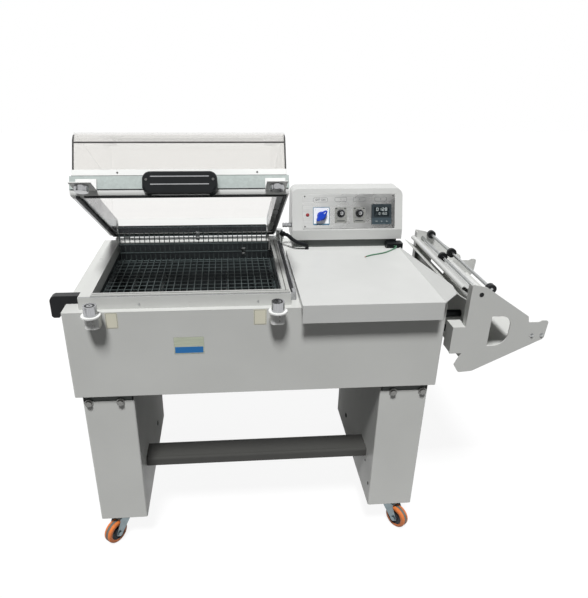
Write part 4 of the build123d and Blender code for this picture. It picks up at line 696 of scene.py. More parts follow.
def seven_segments(bm, figure, place, height):
    """One figure made of lit bars, in millimetres."""
    half, line = height / 2, height * 0.19
    width = height * 0.32
    bars = {
        "a": (0, half, 0), "g": (0, 0, 0), "d": (0, -half, 0), "f": (-width, half / 2, 90),
        "b": (width, half / 2, 90), "e": (-width, -half / 2, 90), "c": (width, -half / 2, 90),
    }
    for bar in SEGMENTS[figure]:
        x, y, turn = bars[bar]
        spin = Matrix.Rotation(math.radians(turn), 4, "Z")
        length = half if turn else 2 * width
        middle = place @ Matrix.Translation((x / 1000, y / 1000, 0)) @ spin
        pad(bm, middle, length - line * 0.4, line, line / 3, print_rise())


def solids_of(name):
    """The separate solids of a CAD node as meshes of whole faces, in a fixed order."""
    whole = bmesh.new()
    whole.from_mesh(frame["nodes"][name].data)
    bmesh.ops.remove_doubles(whole, verts=whole.verts, dist=1e-6)
    whole.faces.index_update()
    whole.faces.ensure_lookup_table()
    left = set(range(len(whole.faces)))
    groups = []
    while left:
        group = set()
        waiting = [min(left)]
        while waiting:
            index = waiting.pop()
            if index in group:
                continue
            group.add(index)
            for edge in whole.faces[index].edges:
                if len(edge.link_faces) == 2:
                    waiting.extend(face.index for face in edge.link_faces)
        left -= group
        groups.append(group)
    solids = []
    for group in groups:
        solid = whole.copy()
        others = [face for face in solid.faces if face.index not in group]
        bmesh.ops.delete(solid, geom=others, context="FACES")
        bmesh.ops.dissolve_limit(
            solid, angle_limit=math.radians(1), verts=solid.verts, edges=solid.edges,
            use_dissolve_boundaries=False,
        )
        solids.append(solid)
    whole.free()
    return sorted(solids, key=lambda solid: [round(value, 4) for value in middle_of(solid)])


def box_of(bm):
    """Lowest and highest corners of a mesh."""
    points = [vert.co for vert in bm.verts]
    low = Vector(min(point[axis] for point in points) for axis in range(3))
    high = Vector(max(point[axis] for point in points) for axis in range(3))
    return low, high


def middle_of(bm):
    """Middle of a mesh's box."""
    low, high = box_of(bm)
    return (low + high) / 2


def round_edges(bm, radius):
    """Round every sharp edge of a solid."""
    sharp = [edge for edge in bm.edges if edge.is_manifold and edge.calc_face_angle() > SHARP]
    bmesh.ops.bevel(
        bm, geom=sharp, offset=radius, segments=2, profile=0.5, affect="EDGES", clamp_overlap=True
    )


def put(name, bm, finish, body, slot, *nodes):
    """Make a piece of a mesh, with its finish and body, and hide the nodes that it stands for; the slot
    is not used.
    """
    bmesh.ops.recalc_face_normals(bm, faces=bm.faces)
    for face in bm.faces:
        face.smooth = True
    for edge in bm.edges:
        edge.smooth = edge.calc_face_angle(0) < SHARP
    mesh = bpy.data.meshes.new(name)
    bm.to_mesh(mesh)
    bm.free()
    mesh.materials.append(finish_of(finish))
    piece = bpy.data.objects.new(name, mesh)
    bpy.context.scene.collection.objects.link(piece)
    shading = piece.modifiers.new("shading", "WEIGHTED_NORMAL")
    shading.keep_sharp = True
    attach(piece, body)
    if nodes:
        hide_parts(*nodes)
    return piece


def plates(table, body, swing=Matrix()):
    """Pieces of thin plates, each with its finish and slot, and its plates in millimetres.

    A plate has its spot, the way that it faces, its width, height, corner and thickness.
    """
    for name, (finish, slot, *sheets) in table.items():
        bm = bmesh.new()
        for place, out, *measures in sheets:
            pad(bm, swing @ facing(spot(*place), out), *measures)
        put(name, bm, finish, body, slot)


# Finish of each CAD node that keeps its own shape
NODE_FINISHES = {
    "body_paint": (
        "cabinet_wrap", "rear_cover", "left_leg", "right_leg", "unwinder_front_plate",
        "unwinder_rear_plate", "film_trough",
    ),
    # Painted shade: the tie beam is darkened to stand for the cabinet's shade
    "beam_paint": ("tie_beam",),
    "bolt_steel": ("leg_bolts",),
    "white_paint": ("top_deck", "rim_rails"),
    "strip_paint": ("magnet_brackets",),
    "table_paint": ("work_table", "control_box", "upper_guide_board"),
    "zinc_plate": ("caster_plates", "heater_tubes", "hinge_posts", "fan_wheel", "hinge_shaft"),
    "fork_plate": tuple("caster_fork_" + corner for corner in CORNERS),
    "tub_steel": ("chamber_tub",),
    "laminated_iron": ("fan_motor", "seal_transformer"),
    "wire_coating": ("mesh_tray",),
    # Painted shade: the plinth and floor pan are darkened to stand for the shadowed gaps around them
    "plinth_paint": ("control_plinth", "floor_pan"),
    "drawn_aluminium": ("side_seal_rail",),
    "silicone": ("hood_seals",),
    "seal_tape": ("lower_seal_strips",),
    "polished_steel": ("magnets",),
    "black_plastic": (
        "cable_conduit", "unwinder_mounts", "rod_bearings", "timer_knob_left", "timer_knob_right",
        "hood_handle",
    ),
    "key_plastic": ("controller_key_set", "controller_key_down", "controller_key_up"),
    "controller_case": ("temperature_controller",),
    "brushed_faceplate": ("control_faceplate",),
    "lamp_lens": ("indicator_lamp",),
    "clear_acrylic": ("hood_cover",),
}


class SEALER_OT_camera(bpy.types.Operator):
    """Camera at the product picture's place"""

    bl_idname = "sealer.camera"
    bl_label = "Camera"

    def execute(self, context):
        view = context.scene.sealer_view
        data = bpy.data.cameras.new("camera")
        data.lens = view.lens
        data.shift_x, data.shift_y = view.shift
        camera = bpy.data.objects.new("camera", data)
        context.scene.collection.objects.link(camera)
        turn = Matrix.Rotation(-view.turn, 4, "Z")
        dip = Matrix.Rotation(math.pi / 2 - view.dip, 4, "X")
        roll = Matrix.Rotation(view.roll, 4, "Z")
        camera.matrix_world = Matrix.Translation(view.place) @ turn @ dip @ roll
        context.scene.camera = camera
        return {"FINISHED"}


class SEALER_OT_earth_lead(bpy.types.Operator):
    """Short earth lead that lies on the table, with its bare strands"""

    bl_idname = "sealer.earth_lead"
    bl_label = "Earth lead"

    # Radius and place along one strand in millimetres, how many, how far out and how much they lean
    STRAND = ((0.32, -1), (0.32, 5), (0.25, 6.5))
    STRANDS = 6
    STRAND_OUT = 0.0007
    TWIST = math.radians(7)

    def execute(self, context):
        data = bpy.data.curves.new("earth_lead_sleeve", "CURVE")
        data.dimensions = "3D"
        data.bevel_depth = sizes().lead / 2
        data.bevel_resolution = 4
        data.use_fill_caps = True
        spline = data.splines.new("NURBS")
        spline.points.add(len(LEAD_ROUTE) - 1)
        for point, place in zip(spline.points, LEAD_ROUTE):
            point.co = (*place, 1)
        spline.order_u = 3
        spline.use_endpoint_u = True
        spline.resolution_u = 12
        lead = bpy.data.objects.new("earth_lead_sleeve", data)
        context.scene.collection.objects.link(lead)
        data.materials.append(finish_of("lead_sleeve"))
        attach(lead, "machine")
        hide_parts("earth_lead")
        strands = self.strands()
        return {"FINISHED"}

    def strands(self):
        """Twist of bare strands at the lead's end."""
        end = Vector(LEAD_ROUTE[-1])
        heading = end - Vector(LEAD_ROUTE[-2])
        lean = Matrix.Rotation(self.TWIST, 4, "X")
        bm = bmesh.new()
        for step in range(self.STRANDS):
            turn = Matrix.Rotation(2 * math.pi * step / self.STRANDS, 4, "Z")
            side = turn @ Matrix.Translation((self.STRAND_OUT, 0, 0))
            lathe(bm, facing(end, heading) @ side @ lean, self.STRAND, count=8)
        return put("earth_lead_strands", bm, "bare_copper", "machine", "green_lead")


class SEALER_OT_node_finishes(bpy.types.Operator):
    """Finish of every CAD node that keeps its shape"""

    bl_idname = "sealer.node_finishes"
    bl_label = "Node finishes"

    def execute(self, context):
        for finish, nodes in NODE_FINISHES.items():
            for name in nodes:
                frame["nodes"][name].material_slots[0].material = finish_of(finish)
        cover = frame["nodes"]["hood_cover"]
        cover.visible_shadow = False
        cover.visible_diffuse = False
        return {"FINISHED"}


class SEALER_OT_caster_wheels(bpy.types.Operator):
    """Caster wheels: orange tyre, grey tread band and moulded core"""

    bl_idname = "sealer.caster_wheels"
    bl_label = "Caster wheels"

    # Radius and offset from the wheel's middle, in millimetres
    TYRE = (
        (25.5, 4.8), (25.5, 13.4), (27, 14), (31.5, 14), (34.4, 13.2), (36.4, 11.2), (37.3, 8.4),
        (37.5, 5), (36.8, 4.8),
    )
    BAND = ((26, -4.7), (26, 4.7), (37, 4.7), (37.4, 2.4), (37.5, 0), (37.4, -2.4), (37, -4.7))
    CORE = mirrored((
        (5.2, 17), (10.6, 17), (12, 15.8), (12, 8.2), (14, 6.8), (20.4, 6.8), (23, 8.2), (24, 12.2),
        (25.4, 13),
    ))

    def execute(self, context):
        for corner in CORNERS:
            joint = JOINTS["wheel_" + corner]
            place = facing(Vector(joint["pos_m"]), Vector(joint["axis"]), UP)
            body = "wheel_" + corner
            tyre = bmesh.new()
            for way in (-1, 1):
                profile = [(radius, way * out) for radius, out in self.TYRE]
                lathe(tyre, place, profile, ring=True, count=64)
            put("tyre_" + corner, tyre, "tyre_tread", body, "orange_tyre", "caster_wheel_" + corner)
            band = bmesh.new()
            lathe(band, place, self.BAND, ring=True, count=64)
            put("tread_band_" + corner, band, "tread_band", body, "orange_tyre")
            core = bmesh.new()
            lathe(core, place, self.CORE, ring=True, count=48)
            put("wheel_core_" + corner, core, "wheel_core", body, "black_plastic")
        return {"FINISHED"}


class SEALER_OT_hood_bars(bpy.types.Operator):
    """Hood frame: galvanised front bar with a white lip, drawn side bars and a white clamp strip"""

    bl_idname = "sealer.hood_bars"
    bl_label = "Hood bars"

    LIP_TOP = 0.0122

    def execute(self, context):
        shut = hood_swing().inverted()
        bars = []
        for bar in solids_of("hood_frame"):
            bmesh.ops.transform(bar, matrix=shut, verts=bar.verts)
            bars.append((bar, *box_of(bar)))
        bars.sort(key=lambda item: item[1].z)
        clamp = bars.pop()[0]
        bars.sort(key=lambda item: item[1].y)
        front, back = bars.pop(0)[0], bars.pop()[0]
        left, right = [item[0] for item in sorted(bars, key=lambda item: item[1].x)]
        front_low = box_of(front)[0]
        for bar, name, finish, slot in (
            (front, "hood_front_bar", "galvanised_sheet", "galvanised"),
            (left, "hood_left_bar", "drawn_aluminium", "galvanised"),
            (right, "hood_right_bar", "drawn_aluminium", "galvanised"),
            (back, "hood_back_bar", "strip_paint", "white_paint"),
            (clamp, "hood_clamp_strip", "strip_paint", "white_paint"),
        ):
            round_edges(bar, sizes().edge)
            if bar is front:
                for face in bar.faces:
                    low_face = face.calc_center_median().z < front_low.z + self.LIP_TOP
                    face.material_index = int(low_face)
            bmesh.ops.transform(bar, matrix=hood_swing(), verts=bar.verts)
            piece = put(name, bar, finish, "hood", slot, "hood_frame")
            if bar is front:
                piece.data.materials.append(finish_of("strip_paint"))
        return {"FINISHED"}


class SEALER_OT_hood_trim(bpy.types.Operator):
    """Hood trim: clamp screws, end caps, a dark strip of painted refraction at the cover's bend, polished
    strips of painted highlight on the handle, screws of the handle, and dark strips of painted shade.
    """

    bl_idname = "sealer.hood_trim"
    bl_label = "Hood trim"

    # Spots of the screws on the closed hood, in millimetres
    CLAMP_SCREWS = ((160, 19, 922.5), (515, 19, 922.5))
    HANDLE_SCREWS = ((236, -16.4, 893), (402, -16.4, 893))

    # Thin plates on the closed hood, as plates() takes them
    PLATES = {
        # Painted highlights: polished strips that stand for the highlights along the handle's grooves
        "handle_inlays": (
            "polished_steel", "chrome",
            ((319, -15.5, 881), -BACK, 146, 2.8, 1.3, 1.9),
            ((319, -15.5, 901), -BACK, 146, 2.8, 1.3, 1.9),
        ),
        "hood_end_caps": (
            "black_plastic", "black_plastic",
            ((41, 36, 896), -RIGHT, 46, 34, 2, 1.6),
            ((597, 36, 896), RIGHT, 46, 34, 2, 1.6),
        ),
        "hood_clamp_shadow_line": (
            "silicone", "black_rubber", ((319, 17.6, 914.1), UP, 545, 1.2, 0.4, 0.8),
        ),
        # Painted shade: dark line in the crease where the front bar meets its lip
        "hood_lip_line": ("silicone", "black_rubber", ((319, 17, 878.6), -BACK, 552, 2.2, 0.6, 0.3)),
        # Painted refraction: dark strip where the clear cover bends
        "cover_bend_line": ("cover_bend", "black_rubber", ((319, 25, 1004), -BACK, 542, 4.4, 1, 0.3)),
        # Painted shade: dark strip that stands for the shade on the front of the hood's back bar
        "hood_back_gasket": ("silicone", "black_rubber", ((319, 465, 878.5), -BACK, 490, 24, 2, 1.2)),
    }

    def execute(self, context):
        screws = bmesh.new()
        small, large = sizes().small_screw, sizes().screw * 0.8
        for places, radius in ((self.CLAMP_SCREWS, small), (self.HANDLE_SCREWS, large)):
            for place in places:
                screw_head(screws, hood_swing() @ facing(spot(*place), -BACK), radius)
        put("hood_screws", screws, "bolt_steel", "hood", "steel")
        plates(self.PLATES, "hood", hood_swing())
        return {"FINISHED"}


class SEALER_OT_armatures(bpy.types.Operator):
    """Armatures: white angle plates and polished discs with a centre screw"""

    bl_idname = "sealer.armatures"
    bl_label = "Armatures"

    PLATE_ROUND = 0.0012
    DISC_ROUND = 0.0015
    BOLT_RADIUS = 0.0065
    BOLT_RISE = 0.011

    def execute(self, context):
        shut = hood_swing().inverted()
        solids = solids_of("armatures")
        for solid in solids:
            bmesh.ops.transform(solid, matrix=shut, verts=solid.verts)
        solids.sort(key=lambda solid: (round(middle_of(solid).x, 2), middle_of(solid).z))
        centres = []
        for side, (disc, plate) in zip(("left", "right"), (solids[:2], solids[2:])):
            centres.append(middle_of(disc))
            for part, name, finish, slot, ease in (
                (plate, "armature_plate_", "strip_paint", "white_paint", self.PLATE_ROUND),
                (disc, "armature_disc_", "polished_steel", "chrome", self.DISC_ROUND),
            ):
                round_edges(part, ease)
                bmesh.ops.transform(part, matrix=hood_swing(), verts=part.verts)
                put(name + side, part, finish, "hood", slot, "armatures")
        bolts = bmesh.new()
        for centre in centres:
            top = centre + UP * self.BOLT_RISE
            hex_head(bolts, hood_swing() @ facing(top, UP), self.BOLT_RADIUS)
        put("armature_bolts", bolts, "zinc_plate", "hood", "steel")
        return {"FINISHED"}


class SEALER_OT_side_handle(bpy.types.Operator):
    """Moulded lifting hook at the left end of the rim"""

    bl_idname = "sealer.side_handle"
    bl_label = "Side handle"

    # Outline in millimetres, along the cabinet and up from the floor
    OUTLINE = (
        (42.5, 826), (-1, 826), (-1, 814), (-14, 806), (-20, 797), (-20, 788), (-23, 785), (-37, 785),
        (-42, 790), (-42, 836), (-38, 844), (-30, 848), (42.5, 848),
    )
    FRONT = 58
    THICK = 25
    EASE = 0.003

    def execute(self, context):
        hook = bmesh.new()
        place = Matrix.Translation(spot(0, self.FRONT, 0)) @ Matrix.Rotation(math.radians(90), 4, "X")
        points = [(x / 1000, z / 1000) for x, z in self.OUTLINE]
        skin(hook, place, [(points, 0), (points, -self.THICK / 1000)])
        round_edges(hook, self.EASE)
        put("side_hook", hook, "black_plastic", "machine", "black_plastic", "side_handle")
        return {"FINISHED"}


class SEALER_OT_rim_trim(bpy.types.Operator):
    """Rim trim: seal wire on the strips, lip and screws of the front channel, a dark liner of painted
    shade on the rear rail, and cushion
    """

    bl_idname = "sealer.rim_trim"
    bl_label = "Rim trim"

    # Thin plates on the rim, as plates() takes them
    PLATES = {
        "seal_wire": (
            "seal_wire", "steel",
            ((336, 34.5, 862), UP, 518, 2.2, 0.6, 0.2),
            ((587.5, 251, 862), UP, 2.2, 430, 0.6, 0.2),
        ),
        "rim_lip": ("drawn_aluminium", "galvanised", ((321, 21.5, 859), UP, 554, 3, 0.8, 1.2)),
        # Painted shade: dark liner that stands for the shade falling down the rear rail's face
        "rear_rail_liner": ("tub_steel", "tub_steel", ((324, 470, 841), -BACK, 498, 30, 2, 0.8)),
        "side_rail_cushion": ("silicone", "black_rubber", ((606, 258, 859), UP, 9, 406, 1.5, 1)),
    }

    # Spots of the screws, in millimetres
    SCREWS = ((198.6, 19, 838), (511.5, 19, 838))

    def execute(self, context):
        plates(self.PLATES, "machine")
        screws = bmesh.new()
        for place in self.SCREWS:
            screw_head(screws, facing(spot(*place), -BACK), sizes().small_screw)
        put("rim_screws", screws, "zinc_plate", "machine", "steel")
        return {"FINISHED"}


class SEALER_OT_guard_clamps(bpy.types.Operator):
    """Small plated clamps on the wire guard"""

    bl_idname = "sealer.guard_clamps"
    bl_label = "Guard clamps"

    # Place of each clamp along the guard and up from the floor, and its bolts, in millimetres
    CLAMPS = ((338, 897.2), (485.6, 841.2))
    PLATE_FRONT = 411.7
    PLATE = (13, 27, 2.5, 2.2)
    BOLT_FRONT = 409.5
    BOLT_STEPS = (-8, 8)
    BOLT_RADIUS = 0.0038

    def execute(self, context):
        clamps = bmesh.new()
        for x, z in self.CLAMPS:
            pad(clamps, facing(spot(x, self.PLATE_FRONT, z), -BACK), *self.PLATE)
            for step in self.BOLT_STEPS:
                place = spot(x, self.BOLT_FRONT, z + step)
                hex_head(clamps, facing(place, -BACK), self.BOLT_RADIUS)
        put("guard_clamps", clamps, "zinc_plate", "machine", "steel")
        return {"FINISHED"}


class SEALER_OT_magnet_trim(bpy.types.Operator):
    """Black ring and core dot of each pot magnet, and the screws of its foot"""

    bl_idname = "sealer.magnet_trim"
    bl_label = "Magnet trim"

    # Radius and height above the pot's face, in millimetres
    RING = ((8.1, -1.9), (12.9, -1.9), (12.9, -0.6), (8.1, -0.6))
    DOT = ((2.6, -0.5), (2.6, 0.03), (2.3, 0.06))

    # Screws of the foot: right of the pot's middle, before the front panel and below the face
    FOOT_SCREWS = ((0.004, 0.036, 0.054), (0.004, 0.036, 0.042))

    def execute(self, context):
        rings = bmesh.new()
        screws = bmesh.new()
        for pot in solids_of("magnets"):
            top = middle_of(pot)
            top.z = box_of(pot)[1].z
            place = facing(top, UP)
            lathe(rings, place, self.RING, ring=True)
            lathe(rings, place, self.DOT)
            for right, before, below in self.FOOT_SCREWS:
                foot = Vector((top.x + right, ORIGIN.y - before, top.z - below))
                screw_head(screws, facing(foot, -BACK), sizes().small_screw)
            pot.free()
        put("magnet_rings", rings, "black_plastic", "machine", "black_plastic")
        put("magnet_foot_screws", screws, "bolt_steel", "machine", "steel")
        return {"FINISHED"}


class SEALER_OT_panel_plates(bpy.types.Operator):
    """Printed plates of the control panel, their marks and the panel's screws"""

    bl_idname = "sealer.panel_plates"
    bl_label = "Panel plates"

    # Along the panel and up its slope, in millimetres, from its corner or from a dial's middle
    FACE_SCREWS = ((7, 13), (311, 13), (7, 114), (311, 114))
    DIAL_SCREWS = ((-16.5, -28), (-16.5, 18), (16.5, -28), (16.5, 18))
    DIAL_FIGURES = (("0", -15, -15), ("5", 0, 19), ("10", 15, -15))
    DIAL_PATCHES = ((-15.5, 17), (15.5, 17))
    SWITCH_FIGURES = (("0", 21, 21), ("1", -21, 21))

    # Place, width and words of each caption
    CAPTIONS = (
        (60, 102, 50, "OFF  ON"), (130.5, 103, 42, "1"), (194, 103, 42, "2"), (268, 103, 42, "3"),
    )

    # Ticks of a dial: how many, the first one's angle and the step in degrees, and how far out
    TICKS = 11
    TICK_START = 135
    TICK_STEP = 27
    TICK_OUT = 0.0168

    def execute(self, context):
        plates = solids_of("scale_plates")
        put("switch_plate", plates[0], "switch_plate_print", "machine", "white_plate", "scale_plates")
        for side, plate in zip(("left", "right"), plates[1:]):
            put("dial_plate_" + side, plate, "dial_plate", "machine", "faceplate", "scale_plates")
        rim = bmesh.new()
        border(rim, panel(*SWITCH_SPOT, PLATE_OUT), 56.4, 60.4, 2.8, 2, 0.2)
        pad(rim, panel(SWITCH_SPOT[0], SWITCH_SPOT[1] - 27, PLATE_OUT), 54, 3, 0.5, 0.22)
        put("switch_plate_rim", rim, "rim_ink", "machine", "blue_plastic")
        marks = bmesh.new()
        for x, up in DIAL_SPOTS.values():
            self.dial_marks(marks, x, up)
        self.captions(marks)
        put("panel_marks", marks, "ink", "machine", "black_plastic")
        screws = bmesh.new()
        for x, up in self.FACE_SCREWS:
            screw_head(screws, panel(x, up, FACEPLATE_OUT), sizes().small_screw)
        tiny = sizes().small_screw * 0.7
        for x, up in DIAL_SPOTS.values():
            for across, rise in self.DIAL_SCREWS:
                screw_head(screws, panel(x + across, up + rise, PLATE_OUT + 0.1), tiny)
        put("panel_screws", screws, "bolt_steel", "machine", "steel")
        return {"FINISHED"}

    def dial_marks(self, bm, x, up):
        """Ticks and numbers round one timer."""
        for step in range(self.TICKS):
            turn = math.radians(self.TICK_START - self.TICK_STEP * step)
            spin = panel(x, up, PLATE_OUT) @ Matrix.Rotation(turn, 4, "Z")
            length = 1.6 if step % 2 else 2.6
            pad(bm, spin @ Matrix.Translation((0, self.TICK_OUT, 0)), 0.9, length, 0.2, print_rise())
        for text, across, rise in self.DIAL_FIGURES:
            lettering(bm, text, panel(x + across, up + rise, PLATE_OUT), 5)
        for across, rise in self.DIAL_PATCHES:
            pad(bm, panel(x + across, up + rise, PLATE_OUT), 7, 4, 1, print_rise())
        pad(bm, panel(x, up - 24.5, PLATE_OUT), 28, 3, 1, print_rise())

    def captions(self, bm):
        """Outlined captions above the controls."""
        for x, up, width, text in self.CAPTIONS:
            border(bm, panel(x, up, FACEPLATE_OUT), width, 15, 5, 0.8, print_rise())
            lettering(bm, text, panel(x, up, FACEPLATE_OUT), 9)
        for text, across, rise in self.SWITCH_FIGURES:
            place = panel(SWITCH_SPOT[0] + across, SWITCH_SPOT[1] + rise, PLATE_OUT)
            lettering(bm, text, place, 6)


class SEALER_OT_knob_caps(bpy.types.Operator):
    """Bright caps and pointer lines of the timers"""

    bl_idname = "sealer.knob_caps"
    bl_label = "Knob caps"

    # Radius and height of the cap on the knob and of the collar round its foot, in millimetres
    CAP = ((6.4, 0), (6.4, 0.5), (5.8, 0.9), (4.6, 0.9), (4, 0.5), (1.5, 0.35))
    COLLAR = ((13.2, 0), (13.2, 0.4), (15.2, 0.4), (15.2, 0))

    # The pointer's place up from the knob's middle and out of the panel, in millimetres
    POINTER_UP = 11.6
    POINTER_OUT = 7.4

    def execute(self, context):
        for body, (x, up) in DIAL_SPOTS.items():
            caps = bmesh.new()
            lathe(caps, panel(x, up, KNOB_OUT), self.CAP)
            lathe(caps, panel(x, up, PLATE_OUT), self.COLLAR, ring=True)
            put(body + "_cap", caps, "drawn_aluminium", body, "chrome")
            line = bmesh.new()
            pad(line, panel(x, up + self.POINTER_UP, self.POINTER_OUT), 1.2, 2.4, 0.3, 0.9)
            put(body + "_pointer", line, "switch_plate_print", body, "white_plate")
        return {"FINISHED"}


class SEALER_OT_main_switch(bpy.types.Operator):
    """Main switch: blue lever with a pale line, on a round blue hub"""

    bl_idname = "sealer.main_switch"
    bl_label = "Main switch"

    # Radius of the lever's middle, reach and radius of its two ends, in millimetres
    MIDDLE = 12.5
    REACH = 18.5
    END = 5.5

    # How far the switch stands out of the box, and the lever's turn in degrees
    SEAT = 3.3
    TURN = 225

    # Radius and height of the hub, and inset and height of the lever's layers, in millimetres
    HUB = ((15, 0), (15, 3.6), (14.4, 4.6), (13, 5))
    LAYERS = ((0.4, 5), (0, 6), (0, 14.5), (0.5, 16.4), (1.8, 17.6), (3.4, 18))

    def execute(self, context):
        base = bmesh.new()
        lathe(base, panel(*SWITCH_SPOT, self.SEAT), self.HUB)
        put("main_switch_base", base, "switch_plastic", "main_switch", "blue_plastic", "main_switch_knob")
        lever = bmesh.new()
        place = panel(*SWITCH_SPOT, self.SEAT) @ Matrix.Rotation(math.radians(self.TURN), 4, "Z")
        skin(lever, place, [(self.outline(inset), height / 1000) for inset, height in self.LAYERS])
        put(
            "main_switch_lever", lever, "switch_plastic", "main_switch", "blue_plastic",
            "main_switch_knob",
        )
        line = bmesh.new()
        pad(line, place @ Matrix.Translation((-0.013, 0, 0.018)), 9, 1.6, 0.5, print_rise())
        put("main_switch_line", line, "switch_plate_print", "main_switch", "white_plate")
        return {"FINISHED"}

    def outline(self, inset):
        """Points round the lever, drawn in by some millimetres."""
        lean = math.acos((self.MIDDLE - self.END) / self.REACH)
        points = []
        for centre, radius, start, end in (
            (self.REACH, self.END, -lean, lean), (0, self.MIDDLE, lean, math.pi - lean),
            (-self.REACH, self.END, math.pi - lean, math.pi + lean),
            (0, self.MIDDLE, math.pi + lean, 2 * math.pi - lean),
        ):
            for step in range(9):
                turn = start + (end - start) * step / 8
                reach = radius - inset
                points.append(((centre + reach * math.cos(turn)) / 1000, reach * math.sin(turn) / 1000))
        return points


class SEALER_OT_controller_face(bpy.types.Operator):
    """Window, figures and key marks of the temperature controller"""

    bl_idname = "sealer.controller_face"
    bl_label = "Controller face"

    # Figures, how far above the controller's middle, height, pitch and how far right, in millimetres
    ROWS = (("0128", 16.5, 9.4, 10, 0), ("0150", 2, 6.6, 7.6, 4))

    def execute(self, context):
        x, up = CONTROLLER_SPOT
        window = bmesh.new()
        pad(window, panel(x, up + 8, SCREEN_OUT), 53.4, 32.4, 1, 0.9)
        put("controller_window", window, "screen_window", "machine", "black_plastic")
        figures = bmesh.new()
        for text, rise, height, pitch, across in self.ROWS:
            for step, figure in enumerate(text):
                place = panel(x + across + (step - 1.5) * pitch, up + rise, SCREEN_OUT + 0.9)
                seven_segments(figures, figure, place, height)
        put("controller_figures", figures, "digit_glow", "machine", "white_plate")
        for body, step in KEY_STEPS.items():
            mark = bmesh.new()
            place = panel(x + step, KEY_UP, KEY_OUT)
            if body == "key_set":
                border(mark, place, 6, 3, 0.8, 0.7, print_rise())
            else:
                way = 1 if body == "key_up" else -1
                wedge = [(-0.002, -0.0012 * way), (0.002, -0.0012 * way), (0, 0.0018 * way)]
                skin(mark, place, [(wedge, 0), (wedge, sizes().print)])
            put("controller_" + body + "_mark", mark, "digit_glow", body, "white_plate")
        return {"FINISHED"}


class SEALER_OT_front_plates(bpy.types.Operator):
    """Plain stickers beside the magnets and the plain plate on the front"""

    bl_idname = "sealer.front_plates"
    bl_label = "Front plates"

    # Middle and width of each sticker and the height that they share, in millimetres
    STICKERS = ((126.8, 31.6), (516, 34.6))
    STICKER_UP = 800.2
    STICKER_HEIGHT = 45.5
    STICKER_THICK = 0.3
    LINE_INSET = 3

    # The plain plate and its foot, as plates() takes them
    PLATES = {
        "blank_plate": ("badge_plate", "faceplate", ((323.5, 0, 720.5), -BACK, 81, 51, 2, 0.8)),
        "blank_plate_foot": ("badge_foot", "blue_plastic", ((323.5, -0.8, 707), -BACK, 76, 19, 1, 0.2)),
    }

    def execute(self, context):
        labels = bmesh.new()
        lines = bmesh.new()
        tall = self.STICKER_HEIGHT
        for x, width in self.STICKERS:
            place = facing(spot(x, 0, self.STICKER_UP), -BACK)
            pad(labels, place, width, tall, 1.5, self.STICKER_THICK)
            place = facing(spot(x, -self.STICKER_THICK, self.STICKER_UP), -BACK)
            border(lines, place, width - self.LINE_INSET, tall - self.LINE_INSET, 1.2, 0.7, 0.1)
        put("blank_labels", labels, "label_film", "machine", "white_plate")
        put("blank_label_lines", lines, "ink", "machine", "black_plastic")
        plates(self.PLATES, "machine")
        return {"FINISHED"}


class SEALER_OT_leg_plugs(bpy.types.Operator):
    """Black plugs in the holes of the legs' inner faces"""

    bl_idname = "sealer.leg_plugs"
    bl_label = "Leg plugs"

    # Inner face and its way out, depth and height of each plug and its radius, in millimetres
    PLUGS = (
        (160, RIGHT, 376, 192, 9), (870, -RIGHT, 400, 176, 9), (870, -RIGHT, 92, 218, 4),
        (870, -RIGHT, 36, 170, 5),
    )

    def execute(self, context):
        plugs = bmesh.new()
        for x, out, y, z, radius in self.PLUGS:
            profile = [(radius, 0), (radius, 0.8), (radius - 1, 1.4), (1, 1)]
            lathe(plugs, facing(spot(x, y, z), out, BACK), profile)
        put("leg_plugs", plugs, "black_plastic", "machine", "black_plastic")
        return {"FINISHED"}


class SEALER_OT_cabinet_screws(bpy.types.Operator):
    """Cover screws at the back of the cabinet and of the control box"""

    bl_idname = "sealer.cabinet_screws"
    bl_label = "Cabinet screws"

    # Shares of the rear cover's width, distance from its edges and how deep the heads sit in it
    SHARES = (0.02, 0.26, 0.5, 0.74, 0.98)
    EDGE = 0.014
    SUNK = 0.001

    # Distances from the control box's sides, bottom and top
    BOX_SIDE = 0.03
    BOX_BOTTOM = 0.02
    BOX_TOP = 0.035

    def execute(self, context):
        places = []
        low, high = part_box("rear_cover")
        for z in (low.z + self.EDGE, high.z - self.EDGE):
            for share in self.SHARES:
                places.append(Vector((low.x + (high.x - low.x) * share, high.y - self.SUNK, z)))
        low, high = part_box("control_box")
        for x in (low.x + self.BOX_SIDE, high.x - self.BOX_SIDE):
            for z in (low.z + self.BOX_BOTTOM, high.z - self.BOX_TOP):
                places.append(Vector((x, high.y, z)))
        screws = bmesh.new()
        for place in places:
            screw_head(screws, facing(place, BACK), sizes().screw)
        put("cover_screws", screws, "zinc_plate", "machine", "steel")
        return {"FINISHED"}


